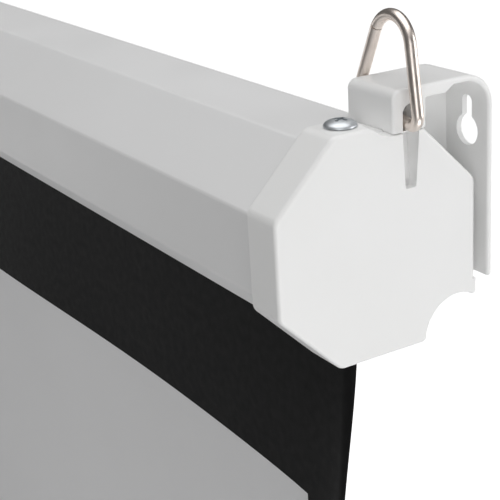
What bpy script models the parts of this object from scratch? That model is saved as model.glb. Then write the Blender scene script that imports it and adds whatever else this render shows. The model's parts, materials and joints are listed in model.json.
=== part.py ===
"""A wall-hung, spring-roller projection screen with a pull-down sheet, as separate parts.

The screen hangs on two moulded wall brackets, each with a keyhole in its plate and a hook block that
drops into the top of the case's end cap. A wire ring through each block takes a ceiling hook instead.
Inside the folded case a spring roller winds the sheet, and a weighted bar with a pull handle holds
the sheet's lower edge straight.

Units are metres. X runs along the case, Y towards the wall and Z up. The origin lies on the wall,
midway between the brackets, at the height of the two wall screws that the keyholes hang on.
"""

import math

import bmesh
import bpy
from mathutils import Matrix, Vector

# Fits
GAP = 0.0003              # clearance between pieces that touch or seat
RUNNING = 0.0005          # clearance round a turning shaft

# Sheet
PICTURE_WIDTH = 1.6190
PICTURE_HEIGHT = 1.2145
SIDE_BORDER = 0.0335
BOTTOM_BORDER = 0.0335
TOP_BORDER = 0.0846       # black sheet below the case, above the picture
SHEET_THICKNESS = 0.0004
WAVE_DEPTH = 0.0054       # soft vertical waves, front to back
WAVE_PEAK = 0.165         # from the sheet's side edge to the first wave's crest
WAVE_HALF_COUNT = 4       # half waves between that crest and the sheet's middle
EDGE_LIFT = 0.0048        # how far the sheet beside its edge stands behind the edge
EDGE_LIFT_AT = 0.034
EDGE_CURL = 0.0034        # how far the very edge curls forward
EDGE_CURL_WIDTH = 0.010
WAVE_START = 0.100        # length of sheet below the case over which the waves grow
WAVE_END = 0.300          # length of sheet above the bar over which they die out

# Case, folded from sheet steel
CASE_WIDTH = 0.0672
CASE_HEIGHT = 0.0648
CASE_CHAMFER = 0.0193
CASE_WALL = 0.0008
CASE_BEND = 0.0020
CASE_FROM_WALL = 0.0450   # from the wall to the case's axis
CASE_BELOW_HANG = 0.0350  # from the wall screws down to the case's axis
SLOT_FRONT_ROOM = 0.0053  # from the sheet to the slot's front lip
SLOT_REAR_ROOM = 0.0027
HEM_RADIUS = 0.0012
HEM_RETURN = 0.0020

# End caps
CAP_DEPTH = 0.0155
CAP_PLATE = 0.0020        # end wall
CAP_SKIRT = 0.0021        # wall beside the case, front and back
CAP_SKIRT_TOP = 0.0039    # wall above and below the case
CAP_SKIRT_SLANT = 0.0030  # wall on the slanted sides
CAP_ROUND = 0.0018        # rounding of the rim, front and back
CAP_CORNER = 0.0040       # rounding between the octagon's sides
CAP_EAR = 0.0022          # rounding at the two ends of the bite
CAP_TO_SHEET = 0.0250     # from a cap's outer face to the sheet's edge
NOTCH_RADIUS = 0.0148     # round bite out of the lower rear corner
NOTCH_WALL = 0.0006       # what it leaves over the case
NOTCH_SKEW = -0.0058
RECESS_FLOOR = 0.0010     # wall left under the hook block
SEAT_STEP = 0.0008        # how much lower the seat is next to the cap's face
SEAT_STEP_WIDTH = 0.0052
RECESS_FRONT = 0.0050     # room in front of the hook block
GROOVE_TOP_WIDTH = 0.0062
GROOVE_LOW_WIDTH = 0.0040
GROOVE_LENGTH = 0.0174
GROOVE_TOP_DEPTH = 0.0064
GROOVE_LOW_DEPTH = 0.0032
GROOVE_WALL = 0.0012
TAB_LENGTH = 0.0180
TAB_DEPTH = 0.0060
TAB_WALL = 0.0016
BOSS_RADIUS = 0.0080
BOSS_DEPTH = 0.0070

# Cap screws
SCREW_INSET = 0.0056      # from the cap's outer face
SCREW_FORWARD = 0.0081    # in front of the case's axis
SCREW_HEAD_RADIUS = 0.0051
SCREW_HEAD_HEIGHT = 0.0019
SCREW_RADIUS = 0.0019
SCREW_LENGTH = 0.0095
SCREW_RECESS = 0.0011

# Wall brackets
BRACKET_WIDTH = 0.0228
BRACKET_PLATE = 0.0020
BRACKET_DROP = 0.0560     # plate below the wall screws' height
BRACKET_RISE = 0.0112     # arm's top above that height
BRACKET_CORNER = 0.0106
BRACKET_ROUND = 0.0008
ARM_THICKNESS = 0.0040
ARM_THIN = 0.0020         # arm's thickness next to the plate
ARM_STEP_AT = 0.0162      # from the wall to where the arm thins
WEB_THICKNESS = 0.0028
WEB_ROOM = 0.0016
BLOCK_FRONT = 0.0386      # from the wall to the hook block's front
BLOCK_LENGTH = 0.0126
BLOCK_ROUND = 0.0030
EYE_WIDTH = 0.0060        # arched eye through the block
EYE_TOP = 0.0066          # above the wall screws' height
EYE_FORWARD = 0.0319      # from the wall to the eye's middle
KEYHOLE_INSET = 0.0100    # from the bracket's outer side
KEYHOLE_SLOT = 0.0045
KEYHOLE_RADIUS = 0.0050
KEYHOLE_DROP = 0.0092     # from the slot's end to the round part's middle
PRONG_INSET = 0.0089
PRONG_WIDTH = 0.0040
PRONG_THICKNESS = 0.0024
PRONG_LENGTH = 0.0095
PRONG_BARB = 0.0012
PRONG_SETBACK = 0.0006

# Hanging rings
WIRE_RADIUS = 0.00185
RING_HALF_WIDTH = 0.0170
RING_LEG_ANGLE = math.radians(18.4)
RING_TOP_RADIUS = 0.0098
RING_CORNER = 0.0030
RING_INSET = 0.0116       # from the bracket's outer side to the bar's middle
RING_LEAN = math.radians(5.5)
RING_TURN = math.radians(3.8)
RING_BACK = math.radians(2.7)
RING_JOINT = 0.0004       # gap of the wire's butt joint
RING_JOINT_TURN = math.radians(9)  # how far above the far leg that joint sits, round the top bend

# Roller
ROLLER_FORWARD = 0.0050   # in front of the case's axis
ROLLER_UP = 0.0010
TUBE_RADIUS = 0.0127
TUBE_WALL = 0.0007
TUBE_INSET = 0.0240       # from a cap's outer face to the tube's end
HEAD_FLANGE = 0.0020
HEAD_PLUG = 0.0140
WRAP_TURNS = 1.5
WRAP_PITCH = 0.00075
GUDGEON_RADIUS = 0.0030
GUDGEON_TAIL = 0.0100     # what sits in the plug
BUSH_RADIUS = 0.0050

# Spring, arbor and lock
SPEAR_HEIGHT = 0.0060
SPEAR_THICKNESS = 0.0026
SPEAR_TAIL = 0.0100
ARBOR_RADIUS = 0.0040
ARBOR_INSET = 0.0190      # from the cap's outer face to the arbor's end
ARBOR_LENGTH = 0.2100
ARBOR_BEARING = 0.0060
SPRING_WIRE = 0.0010      # wire radius
SPRING_RADIUS = 0.0080    # to the middle of the wire
SPRING_TURNS = 18
SPRING_START = 0.0450     # from the cap's outer face
SPRING_LENGTH = 0.1600
DISC_RADIUS = 0.0070
DISC_THICKNESS = 0.0030
DISC_INSET = 0.0130       # from the cap's outer face
NOTCH_FLOOR = 0.0052      # from the axis to the floor of the disc's notch
NOTCH_FACE = 0.0012       # from the axis to the notch's stop face
PAWL_THICKNESS = 0.0024
PAWL_BACK = 0.0095        # pawl's pivot, from the roller's axis
PAWL_HIGH = 0.0055
PAWL_HUB = 0.0030
PIVOT_RADIUS = 0.0013

# Bottom bar
BAR_RADIUS = 0.0100
BAR_WALL = 0.0010
BAR_SLOT = 0.0034
BAR_PAST_SHEET = 0.0050
BAR_CAP = 0.0022
BAR_PLUG = 0.0040
ROD_RADIUS = 0.0020
ROD_DROP = 0.0025         # below the bar's axis
HEM_TAB = 0.0085          # top of the hem above the bar's axis
SHEET_END = 0.0030        # end of the sheet above the bar's axis
BUFFER_WALL = 0.0013
BUFFER_WIDTH = 0.0034
TOP_CLEARANCE = 0.0008    # left between buffer and case when the screen is rolled up

# Pull handle
CLIP_LENGTH = 0.0640
CLIP_WIDTH = 0.0160
CLIP_DEPTH = 0.0135       # clip's underside, below the bar's axis
LUG_THICKNESS = 0.0045
LUG_WIDTH = 0.0090
LUG_DROP = 0.0085         # from the clip's underside to the lug's end
LUG_AT = 0.0240           # inner side of a lug, from the middle
BAIL_RADIUS = 0.0023
BAIL_HALF_WIDTH = 0.0380
BAIL_LENGTH = 0.0340
BAIL_CORNER = 0.0080
CLIP_SCREW_AT = 0.0140
CLIP_SCREW_RADIUS = 0.00145
CLIP_SCREW_HEAD = 0.0030

# Places that follow from the sizes above
SHEET_WIDTH = PICTURE_WIDTH + 2 * SIDE_BORDER
HALF_LENGTH = SHEET_WIDTH / 2 + CAP_TO_SHEET
AXIS_Y = -CASE_FROM_WALL
AXIS_Z = -CASE_BELOW_HANG
ROLLER_Y = AXIS_Y - ROLLER_FORWARD
ROLLER_Z = AXIS_Z + ROLLER_UP
WRAP_RADIUS = TUBE_RADIUS + GAP + SHEET_THICKNESS + WRAP_TURNS * WRAP_PITCH
SHEET_Y = ROLLER_Y + WRAP_RADIUS - SHEET_THICKNESS / 2
CASE_BOTTOM = AXIS_Z - CASE_HEIGHT / 2
PICTURE_TOP = CASE_BOTTOM - TOP_BORDER
PICTURE_BOTTOM = PICTURE_TOP - PICTURE_HEIGHT
BAR_Z = PICTURE_BOTTOM - BOTTOM_BORDER - BAR_RADIUS
BAR_HALF_LENGTH = SHEET_WIDTH / 2 + BAR_PAST_SHEET
BUFFER_RADIUS = BAR_RADIUS + GAP + BUFFER_WALL
TRAVEL = CASE_BOTTOM - TOP_CLEARANCE - BUFFER_RADIUS - BAR_Z
CAP_HALF_WIDTH = CASE_WIDTH / 2 + GAP + CAP_SKIRT
CAP_HALF_HEIGHT = CASE_HEIGHT / 2 + GAP + CAP_SKIRT_TOP
CASE_SLANT = CASE_WIDTH / 2 + CASE_HEIGHT / 2 - CASE_CHAMFER
CAP_SLANT = CASE_SLANT + math.sqrt(2) * (GAP + CAP_SKIRT_SLANT)
CAP_CHAMFER = CAP_HALF_WIDTH + CAP_HALF_HEIGHT - CAP_SLANT
CAVITY_TOP = CASE_HEIGHT / 2 + GAP
RECESS_Z = CAVITY_TOP + RECESS_FLOOR
BLOCK_Y = CASE_FROM_WALL - BLOCK_FRONT
EYE_Y = CASE_FROM_WALL - EYE_FORWARD
HANG_Z = CASE_BELOW_HANG
PRONG_Y = BLOCK_Y + PRONG_SETBACK
RING_Z = RECESS_Z + GAP + WIRE_RADIUS + math.tan(RING_LEAN) * (RING_INSET - SEAT_STEP_WIDTH)

ALONG_X = Matrix(((0, 0, 1, 0), (1, 0, 0, 0), (0, 1, 0, 0), (0, 0, 0, 1)))


def clear_scene():
    for old in list(bpy.data.objects):
        bpy.data.objects.remove(old, do_unlink=True)


def new_collection(name):
    collection = bpy.data.collections.new(name)
    bpy.context.scene.collection.children.link(collection)
    return collection


def make_material(name, colour, roughness, metallic=0.0):
    material = bpy.data.materials.new(name)
    material.use_nodes = True
    shader = material.node_tree.nodes["Principled BSDF"]
    shader.inputs["Base Color"].default_value = (*colour, 1.0)
    shader.inputs["Roughness"].default_value = roughness
    shader.inputs["Metallic"].default_value = metallic
    material.diffuse_color = (*colour, 1.0)
    return material


clear_scene()
PARTS = new_collection("projector_screen")
CUTTERS = new_collection("cutters")

WHITE_PLASTIC = make_material("white moulded plastic", (0.86, 0.86, 0.85), 0.28)
WHITE_PAINT = make_material("white painted steel", (0.80, 0.80, 0.80), 0.38)
BLACK_PLASTIC = make_material("black moulded plastic", (0.03, 0.03, 0.03), 0.40)
NICKEL = make_material("nickel-plated wire", (0.72, 0.66, 0.60), 0.18, 1.0)
ZINC = make_material("zinc-plated steel", (0.66, 0.68, 0.70), 0.30, 1.0)
STEEL = make_material("bright steel", (0.55, 0.56, 0.58), 0.35, 1.0)
NYLON = make_material("natural nylon", (0.75, 0.73, 0.66), 0.45)
WOOD = make_material("turned hardwood", (0.50, 0.34, 0.19), 0.60)
RUBBER = make_material("black rubber", (0.02, 0.02, 0.02), 0.80)
SHEET_WHITE = make_material("white sheet face", (0.82, 0.82, 0.82), 0.75)
SHEET_BLACK = make_material("black sheet border", (0.02, 0.02, 0.02), 0.60)


def add_object(name, mesh, material=None):
    obj = bpy.data.objects.new(name, mesh)
    PARTS.objects.link(obj)
    if material:
        mesh.materials.clear()
        mesh.materials.append(material)
    return obj


def from_bmesh(name, bm, material=None):
    bmesh.ops.recalc_face_normals(bm, faces=bm.faces)
    mesh = bpy.data.meshes.new(name)
    bm.to_mesh(mesh)
    bm.free()
    return add_object(name, mesh, material)


def bake(obj):
    """Turns an object with its modifiers and its place into a plain mesh at the origin."""
    bpy.context.view_layer.update()
    evaluated = obj.evaluated_get(bpy.context.evaluated_depsgraph_get())
    mesh = bpy.data.meshes.new_from_object(evaluated)
    mesh.transform(obj.matrix_world)
    bm = bmesh.new()
    bm.from_mesh(mesh)
    bmesh.ops.remove_doubles(bm, verts=bm.verts, dist=1e-6)
    bmesh.ops.dissolve_limit(bm, angle_limit=math.radians(0.5), verts=bm.verts, edges=bm.edges)
    bm.to_mesh(mesh)
    bm.free()
    name = obj.name
    material = obj.active_material
    bpy.data.objects.remove(obj, do_unlink=True)
    mesh.name = name
    return add_object(name, mesh, material)


def shade(obj, angle=32.0):
    obj.data.shade_smooth()
    obj.data.set_sharp_from_angle(angle=math.radians(angle))
    return obj


def put_away(cutter):
    """Moves a helper solid out of the model, so that it only cuts or joins."""
    PARTS.objects.unlink(cutter)
    CUTTERS.objects.link(cutter)
    cutter.hide_render = True
    cutter.display_type = "WIRE"


def boolean(target, tool, operation):
    modifier = target.modifiers.new(f"{operation.lower()} {tool.name}", "BOOLEAN")
    modifier.operation = operation
    modifier.solver = "EXACT"
    modifier.object = tool
    put_away(tool)


def cut(target, *tools):
    for tool in tools:
        boolean(target, tool, "DIFFERENCE")


def join(target, *tools):
    for tool in tools:
        boolean(target, tool, "UNION")


def rounded(corners, closed=True, step=math.radians(20)):
    """A polyline through (a, b) or (a, b, radius) corners, with each radius as an arc."""
    points = []
    count = len(corners)
    for index, corner in enumerate(corners):
        here = Vector(corner[:2])
        inner = closed or 0 < index < count - 1
        if len(corner) == 2 or not inner:
            points.append(tuple(here))
            continue
        radius = corner[2]
        back = (Vector(corners[index - 1][:2]) - here).normalized()
        ahead = (Vector(corners[(index + 1) % count][:2]) - here).normalized()
        half = back.angle(ahead) / 2
        centre = here + (back + ahead).normalized() * radius / math.sin(half)
        start = here + back * radius / math.tan(half) - centre
        end = here + ahead * radius / math.tan(half) - centre
        turn = start.angle_signed(end)
        steps = max(2, math.ceil(abs(turn) / step))
        first = math.atan2(start.y, start.x)
        for number in range(steps + 1):
            angle = first - turn * number / steps
            points.append((centre.x + radius * math.cos(angle), centre.y + radius * math.sin(angle)))
    return points


def octagon(half_width, half_height, chamfer):
    """Corners of an octagon in (y, z), counter-clockwise from the lower end of its rear side."""
    flat = half_width - chamfer
    side = half_height - chamfer
    return [(half_width, -side), (half_width, side), (flat, half_height), (-flat, half_height),
            (-half_width, side), (-half_width, -side), (-flat, -half_height), (flat, -half_height)]


def drawn_along(name, path, start, end, material, frame, closed, rounding=0.0):
    """A (y, z) path drawn out from x = start to x = end: a solid plate if closed, else a thin strip.

    With a rounding, the path is where the plate's flat faces end and the rounded rim begins.
    """
    curve = bpy.data.curves.new(name, "CURVE")
    curve.dimensions = "2D"
    curve.fill_mode = "BOTH" if closed else "NONE"
    curve.extrude = abs(end - start) / 2 - rounding
    curve.bevel_depth = rounding
    curve.bevel_resolution = 1
    spline = curve.splines.new("POLY")
    spline.points.add(len(path) - 1)
    spline.use_cyclic_u = closed
    for point, (a, b) in zip(spline.points, path):
        point.co = (a, b, 0.0, 1.0)
    obj = bpy.data.objects.new(name, curve)
    PARTS.objects.link(obj)
    obj.matrix_world = frame @ Matrix.Translation((0.0, 0.0, (start + end) / 2))
    if material:
        curve.materials.append(material)
    return bake(obj)


def plate(name, outline, start, end, material=None, frame=ALONG_X, rounding=0.0):
    """A flat outline given in (y, z), as thick as from x = start to x = end."""
    return drawn_along(name, outline, start, end, material, frame, True, rounding)


def box(name, low, high, material=None):
    bm = bmesh.new()
    bmesh.ops.create_cube(bm, size=1.0)
    size = Vector(high) - Vector(low)
    bmesh.ops.scale(bm, vec=size, verts=bm.verts)
    bmesh.ops.translate(bm, vec=(Vector(high) + Vector(low)) / 2, verts=bm.verts)
    return from_bmesh(name, bm, material)


def cylinder(name, start, end, radius, material=None, segments=32):
    """A round bar between two points."""
    start, end = Vector(start), Vector(end)
    bm = bmesh.new()
    bmesh.ops.create_cone(bm, cap_ends=True, segments=segments, radius1=radius, radius2=radius,
                          depth=(end - start).length)
    turn = Vector((0, 0, 1)).rotation_difference(end - start).to_matrix().to_4x4()
    bmesh.ops.transform(bm, matrix=Matrix.Translation((start + end) / 2) @ turn, verts=bm.verts)
    return from_bmesh(name, bm, material)


def sleeve(name, start, end, radius, wall, centre, material, segments=32):
    """A round tube along X: an open cylinder with a wall inside its radius."""
    bm = bmesh.new()
    bmesh.ops.create_cone(bm, cap_ends=False, segments=segments, radius1=radius, radius2=radius,
                          depth=abs(end - start))
    move = Matrix.Translation(((start + end) / 2, *centre))
    bmesh.ops.transform(bm, matrix=move @ ALONG_X, verts=bm.verts)
    tube = from_bmesh(name, bm, material)
    thicken(tube, wall)
    return tube


def thicken(obj, wall):
    solidify = obj.modifiers.new("wall", "SOLIDIFY")
    solidify.thickness = wall
    solidify.offset = -1.0
    solidify.use_even_offset = True


def folded(name, path, start, end, wall, material):
    """Sheet folded along an open (y, z) path, counter-clockwise, with its wall inside the path."""
    obj = drawn_along(name, path, start, end, material, ALONG_X, False)
    first = Vector((0.0, path[1][0] - path[0][0], path[1][1] - path[0][1]))
    middle = Vector(((start + end) / 2, path[0][0], path[0][1])) + first / 2
    nearest = min(obj.data.polygons, key=lambda face: (face.center - middle).length)
    if nearest.normal.dot(first.cross((1.0, 0.0, 0.0))) < 0:
        obj.data.flip_normals()
    thicken(obj, wall)
    return obj


def turned(name, profile, material, segments=32):
    """A turned piece about Z: its (radius, z) profile runs from the top down its outer side."""
    mesh = bpy.data.meshes.new(name)
    verts = [(radius, 0.0, z) for radius, z in profile]
    mesh.from_pydata(verts, [(n, n + 1) for n in range(len(verts) - 1)], [])
    obj = add_object(name, mesh, material)
    screw = obj.modifiers.new("turn", "SCREW")
    screw.axis = "Z"
    screw.steps = segments
    screw.render_steps = segments
    screw.use_merge_vertices = True
    screw.merge_threshold = 1e-5
    return bake(obj)


def wire(name, points, radius, material, resolution=4, closed_ends=True):
    """A round wire along a polyline in space."""
    curve = bpy.data.curves.new(name, "CURVE")
    curve.dimensions = "3D"
    curve.bevel_depth = radius
    curve.bevel_resolution = resolution
    curve.use_fill_caps = closed_ends
    spline = curve.splines.new("POLY")
    spline.points.add(len(points) - 1)
    for point, place in zip(spline.points, points):
        point.co = (*place, 1.0)
    curve.materials.append(material)
    obj = bpy.data.objects.new(name, curve)
    PARTS.objects.link(obj)
    return bake(obj)


def least_gap(points, per_turn, radius):
    """The smallest gap from any point of a coil to the turns before it, measured on its points."""
    places = [Vector(point) for point in points]
    middles = min((places[a] - places[b]).length
                  for a in range(len(places)) for b in range(a - per_turn // 2))
    return middles - 2 * radius


def hang_on(obj, parent, location=(0.0, 0.0, 0.0), rotation=(0.0, 0.0, 0.0)):
    obj.parent = parent
    obj.location = location
    obj.rotation_euler = rotation
    return obj


def empty(name, location, parent=None):
    obj = bpy.data.objects.new(name, None)
    obj.empty_display_size = 0.02
    PARTS.objects.link(obj)
    obj.location = location
    obj.parent = parent
    return obj


def copy_of(obj, name, parent=None):
    """A second object that shares the first one's mesh and place."""
    twin = obj.copy()
    twin.name = name
    PARTS.objects.link(twin)
    if parent:
        twin.parent = parent
    return twin


# Case

def case_path():
    """Section of the folded case, from the slot's rear lip round to its front lip."""
    rear_lip = SHEET_Y - AXIS_Y + SLOT_REAR_ROOM
    front_lip = SHEET_Y - AXIS_Y - SLOT_FRONT_ROOM
    low = -CASE_HEIGHT / 2
    hem_top = low + 2 * HEM_RADIUS
    corners = octagon(CASE_WIDTH / 2, CASE_HEIGHT / 2, CASE_CHAMFER)
    bends = [(y, z, CASE_BEND) for y, z in corners]
    rear_hem = [(rear_lip + HEM_RADIUS + HEM_RETURN, hem_top), (rear_lip, hem_top, HEM_RADIUS),
                (rear_lip, low, HEM_RADIUS)]
    front_hem = [(front_lip, low, HEM_RADIUS), (front_lip, hem_top, HEM_RADIUS),
                 (front_lip - HEM_RADIUS - HEM_RETURN, hem_top)]
    return rounded(rear_hem + bends[7:] + bends[:7] + front_hem, closed=False)


def make_case():
    path = [(y + AXIS_Y, z + AXIS_Z) for y, z in case_path()]
    half = HALF_LENGTH - CAP_PLATE - GAP
    case = folded("casing_shell", path, -half, half, CASE_WALL, WHITE_PAINT)
    for side in (-1, 1):
        screw_x = side * (HALF_LENGTH - SCREW_INSET)
        screw_y = AXIS_Y - SCREW_FORWARD
        hole = cylinder(f"case screw hole {side}", (screw_x, screw_y, AXIS_Z + CASE_HEIGHT / 4),
                        (screw_x, screw_y, AXIS_Z + CASE_HEIGHT), SCREW_RADIUS + GAP, segments=20)
        inner = HALF_LENGTH - PRONG_INSET - PRONG_WIDTH - 4 * GAP
        xs = sorted((side * inner, side * HALF_LENGTH))
        front = AXIS_Y + BLOCK_Y - RECESS_FRONT - 3 * GAP
        rear = AXIS_Y + EYE_Y + GROOVE_TOP_WIDTH / 2 + GROOVE_WALL + 3 * GAP
        notch = box(f"hanger notch {side}", (xs[0], front, AXIS_Z + RECESS_Z / 2),
                    (xs[1], rear, AXIS_Z + CASE_HEIGHT))
        cut(case, hole, notch)
    return shade(case)


# End caps, in their own frame: x = 0 is the outer face, -x runs into the case

def notch_centre():
    reach = CASE_SLANT + math.sqrt(2) * (GAP + NOTCH_RADIUS + NOTCH_WALL)
    return (reach + NOTCH_SKEW) / 2, (NOTCH_SKEW - reach) / 2


def bite_points(half_width, half_height, radius):
    """The bite's edge, from the cap's underside up to its rear side."""
    centre_y, centre_z = notch_centre()
    across = -math.sqrt(radius ** 2 - (half_height + centre_z) ** 2)
    up = math.sqrt(radius ** 2 - (half_width - centre_y) ** 2)
    first = math.atan2(-half_height - centre_z, across) % (2 * math.pi)
    last = math.atan2(up, half_width - centre_y)
    steps = math.ceil((first - last) / math.radians(5))
    angles = [first + (last - first) * n / steps for n in range(steps + 1)]
    return [(centre_y + radius * math.cos(a), centre_z + radius * math.sin(a)) for a in angles]


def cap_outline():
    """Where the cap's flat face ends: its octagon with the bite and the sunk seat, inside the rounded rim."""
    half_width = CAP_HALF_WIDTH - CAP_ROUND
    half_height = CAP_HALF_HEIGHT - CAP_ROUND
    lean = (math.sqrt(2) - 1) * CAP_ROUND
    corner = max(CAP_CORNER - CAP_ROUND, CAP_ROUND / 10)
    ear = max(CAP_EAR - CAP_ROUND, CAP_ROUND / 10)
    corners = octagon(half_width, half_height, CAP_CHAMFER - (2 - math.sqrt(2)) * CAP_ROUND)
    bite = bite_points(half_width, half_height, NOTCH_RADIUS + CAP_ROUND)
    seat_z = RECESS_Z - CAP_ROUND
    seat_front = BLOCK_Y - RECESS_FRONT - lean
    ramp = CAP_HALF_HEIGHT - RECESS_Z
    seat = [(CAP_SLANT - RECESS_Z - lean, seat_z), (seat_front, seat_z), (seat_front - ramp, half_height)]
    front = [(y, z, corner) for y, z in corners[3:7]]
    return rounded([(*bite[0], ear)] + bite[1:-1] + [(*bite[-1], ear), (*corners[1], corner)] + seat + front)


def groove_cutter():
    """The tapered groove below the ring, deep at its top and shallow at its lower end."""
    top = RECESS_Z - SEAT_STEP
    low = top - GROOVE_LENGTH
    lean = (GROOVE_TOP_WIDTH - GROOVE_LOW_WIDTH) / 8
    outline = [(EYE_Y - GROOVE_TOP_WIDTH / 2, top), (EYE_Y - GROOVE_LOW_WIDTH / 2 - lean, low),
               (EYE_Y + GROOVE_LOW_WIDTH / 2 - lean, low), (EYE_Y + GROOVE_TOP_WIDTH / 2, top)]
    groove = plate("groove", outline, -GROOVE_TOP_DEPTH, CAP_PLATE)
    slope = (GROOVE_TOP_DEPTH - GROOVE_LOW_DEPTH) / GROOVE_LENGTH
    for vertex in groove.data.vertices:
        if vertex.co.x < 0:
            vertex.co.x += slope * (top - vertex.co.z)
    return groove


def make_cap(name, bearing):
    """One end cap. The bearing cutter shapes the hole in its boss."""
    cap = plate(name, cap_outline(), -CAP_DEPTH, 0.0, WHITE_PLASTIC, rounding=CAP_ROUND)
    cavity = octagon(CASE_WIDTH / 2 + GAP, CAVITY_TOP, CASE_CHAMFER + (2 - math.sqrt(2)) * GAP)
    hollow = plate(f"{name} hollow", cavity, -2 * CAP_DEPTH, -CAP_PLATE)
    cut(cap, hollow)
    axis = (-ROLLER_FORWARD, ROLLER_UP)
    overlap = CAP_PLATE / 2
    boss = cylinder(f"{name} boss", (-CAP_PLATE - BOSS_DEPTH, *axis), (-overlap, *axis), BOSS_RADIUS)
    half_groove = GROOVE_TOP_WIDTH / 2 + GROOVE_WALL
    low_wall = RECESS_Z - SEAT_STEP - GROOVE_WALL
    groove_low = RECESS_Z - SEAT_STEP - GROOVE_LENGTH - GROOVE_WALL
    housing = box(f"{name} groove wall", (-GROOVE_TOP_DEPTH - GROOVE_WALL, EYE_Y - half_groove, groove_low),
                  (-overlap, EYE_Y + half_groove, CAVITY_TOP + RECESS_FLOOR / 2))
    shelf = box(f"{name} seat wall", (-SEAT_STEP_WIDTH - GROOVE_WALL, BLOCK_Y - RECESS_FRONT, low_wall),
                (-overlap, EYE_Y + half_groove, CAVITY_TOP + RECESS_FLOOR / 2))
    join(cap, boss, housing, shelf)
    inside = CASE_WIDTH / 2 - CASE_WALL - GAP
    for side in (-1, 1):
        near, far = sorted((side * (inside - TAB_WALL), side * inside))
        tab = box(f"{name} tab {side}", (-CAP_PLATE - TAB_DEPTH, near, -TAB_LENGTH / 2),
                  (-overlap, far, TAB_LENGTH / 2))
        join(cap, tab)
    screw_hole = cylinder(f"{name} screw hole", (-SCREW_INSET, -SCREW_FORWARD, CASE_HEIGHT / 4),
                          (-SCREW_INSET, -SCREW_FORWARD, CAP_HALF_HEIGHT + CAP_DEPTH),
                          SCREW_RADIUS + GAP, segments=20)
    prong_hole = box(f"{name} prong hole", (-PRONG_INSET - PRONG_WIDTH - GAP, PRONG_Y - GAP, CASE_HEIGHT / 4),
                     (-PRONG_INSET + GAP, PRONG_Y + PRONG_THICKNESS + GAP, CAP_HALF_HEIGHT))
    low = RECESS_Z - SEAT_STEP
    seat_front = BLOCK_Y - RECESS_FRONT
    high = RECESS_Z + SEAT_STEP
    step_outline = [(seat_front - SEAT_STEP, high), (seat_front + SEAT_STEP, low), (CAP_HALF_WIDTH, low),
                    (CAP_HALF_WIDTH, high)]
    step = plate(f"{name} seat step", step_outline, -SEAT_STEP_WIDTH, CAP_PLATE)
    cut(cap, step, groove_cutter(), screw_hole, prong_hole, bearing)
    return shade(bake(cap))


def make_caps(right, left):
    axis = (-ROLLER_FORWARD, ROLLER_UP)
    deep = -CAP_PLATE - 2 * BOSS_DEPTH
    half_thick = SPEAR_THICKNESS / 2 + GAP
    half_high = SPEAR_HEIGHT / 2 + GAP
    spear_slot = box("spear slot", (deep, axis[0] - half_thick, axis[1] - half_high),
                     (-CAP_PLATE, axis[0] + half_thick, axis[1] + half_high))
    bush_bore = cylinder("bush bore", (deep, *axis), (-CAP_PLATE, *axis), BUSH_RADIUS + GAP, segments=40)
    hang_on(make_cap("end_cap_right", spear_slot), right)
    hang_on(make_cap("end_cap_left", bush_bore), left)


def make_cap_screws(right, left):
    """A cross-recessed screw with a domed head in the top of each cap. Its head stands on z = 0."""
    rim = SCREW_HEAD_HEIGHT / 4
    dome = [(SCREW_HEAD_RADIUS * math.sin(a), rim + (SCREW_HEAD_HEIGHT - rim) * math.cos(a))
            for a in (math.radians(15 * n) for n in range(7))]
    tip = -SCREW_LENGTH
    profile = dome + [(SCREW_HEAD_RADIUS, 0.0), (SCREW_RADIUS, 0.0), (SCREW_RADIUS, tip + SCREW_RADIUS),
                      (0.0, tip)]
    screw = turned("cap_screw_right", profile, ZINC, segments=24)
    reach = SCREW_HEAD_RADIUS * 0.52
    width = SCREW_HEAD_RADIUS * 0.12
    for number in range(2):
        blade = box(f"recess blade {number}", (-reach, -width, SCREW_HEAD_HEIGHT - SCREW_RECESS),
                    (reach, width, 2 * SCREW_HEAD_HEIGHT))
        blade.rotation_euler.z = math.radians(25 + 90 * number)
        cut(screw, blade)
    screw = hang_on(shade(bake(screw)), right, (-SCREW_INSET, -SCREW_FORWARD, CAP_HALF_HEIGHT + GAP))
    copy_of(screw, "cap_screw_left", left)


# Wall brackets, in the same frame as the caps

def bracket_outline():
    wall = CASE_FROM_WALL
    top = HANG_Z + BRACKET_RISE
    foot = HANG_Z - BRACKET_DROP
    face = wall - BRACKET_PLATE
    block_low = RECESS_Z - SEAT_STEP + GAP
    thin = top - ARM_THIN
    thick = top - ARM_THICKNESS
    step = wall - ARM_STEP_AT
    inner = BRACKET_CORNER - BRACKET_PLATE
    return [(BLOCK_Y, block_low), (BLOCK_Y + BLOCK_LENGTH, block_low), (BLOCK_Y + BLOCK_LENGTH, thick),
            (step - ARM_THIN, thick), (step + ARM_THIN / 2, thin), (face, thin, inner), (face, foot),
            (wall, foot), (wall, top, BRACKET_CORNER), (BLOCK_Y, top, BLOCK_ROUND)]


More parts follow.
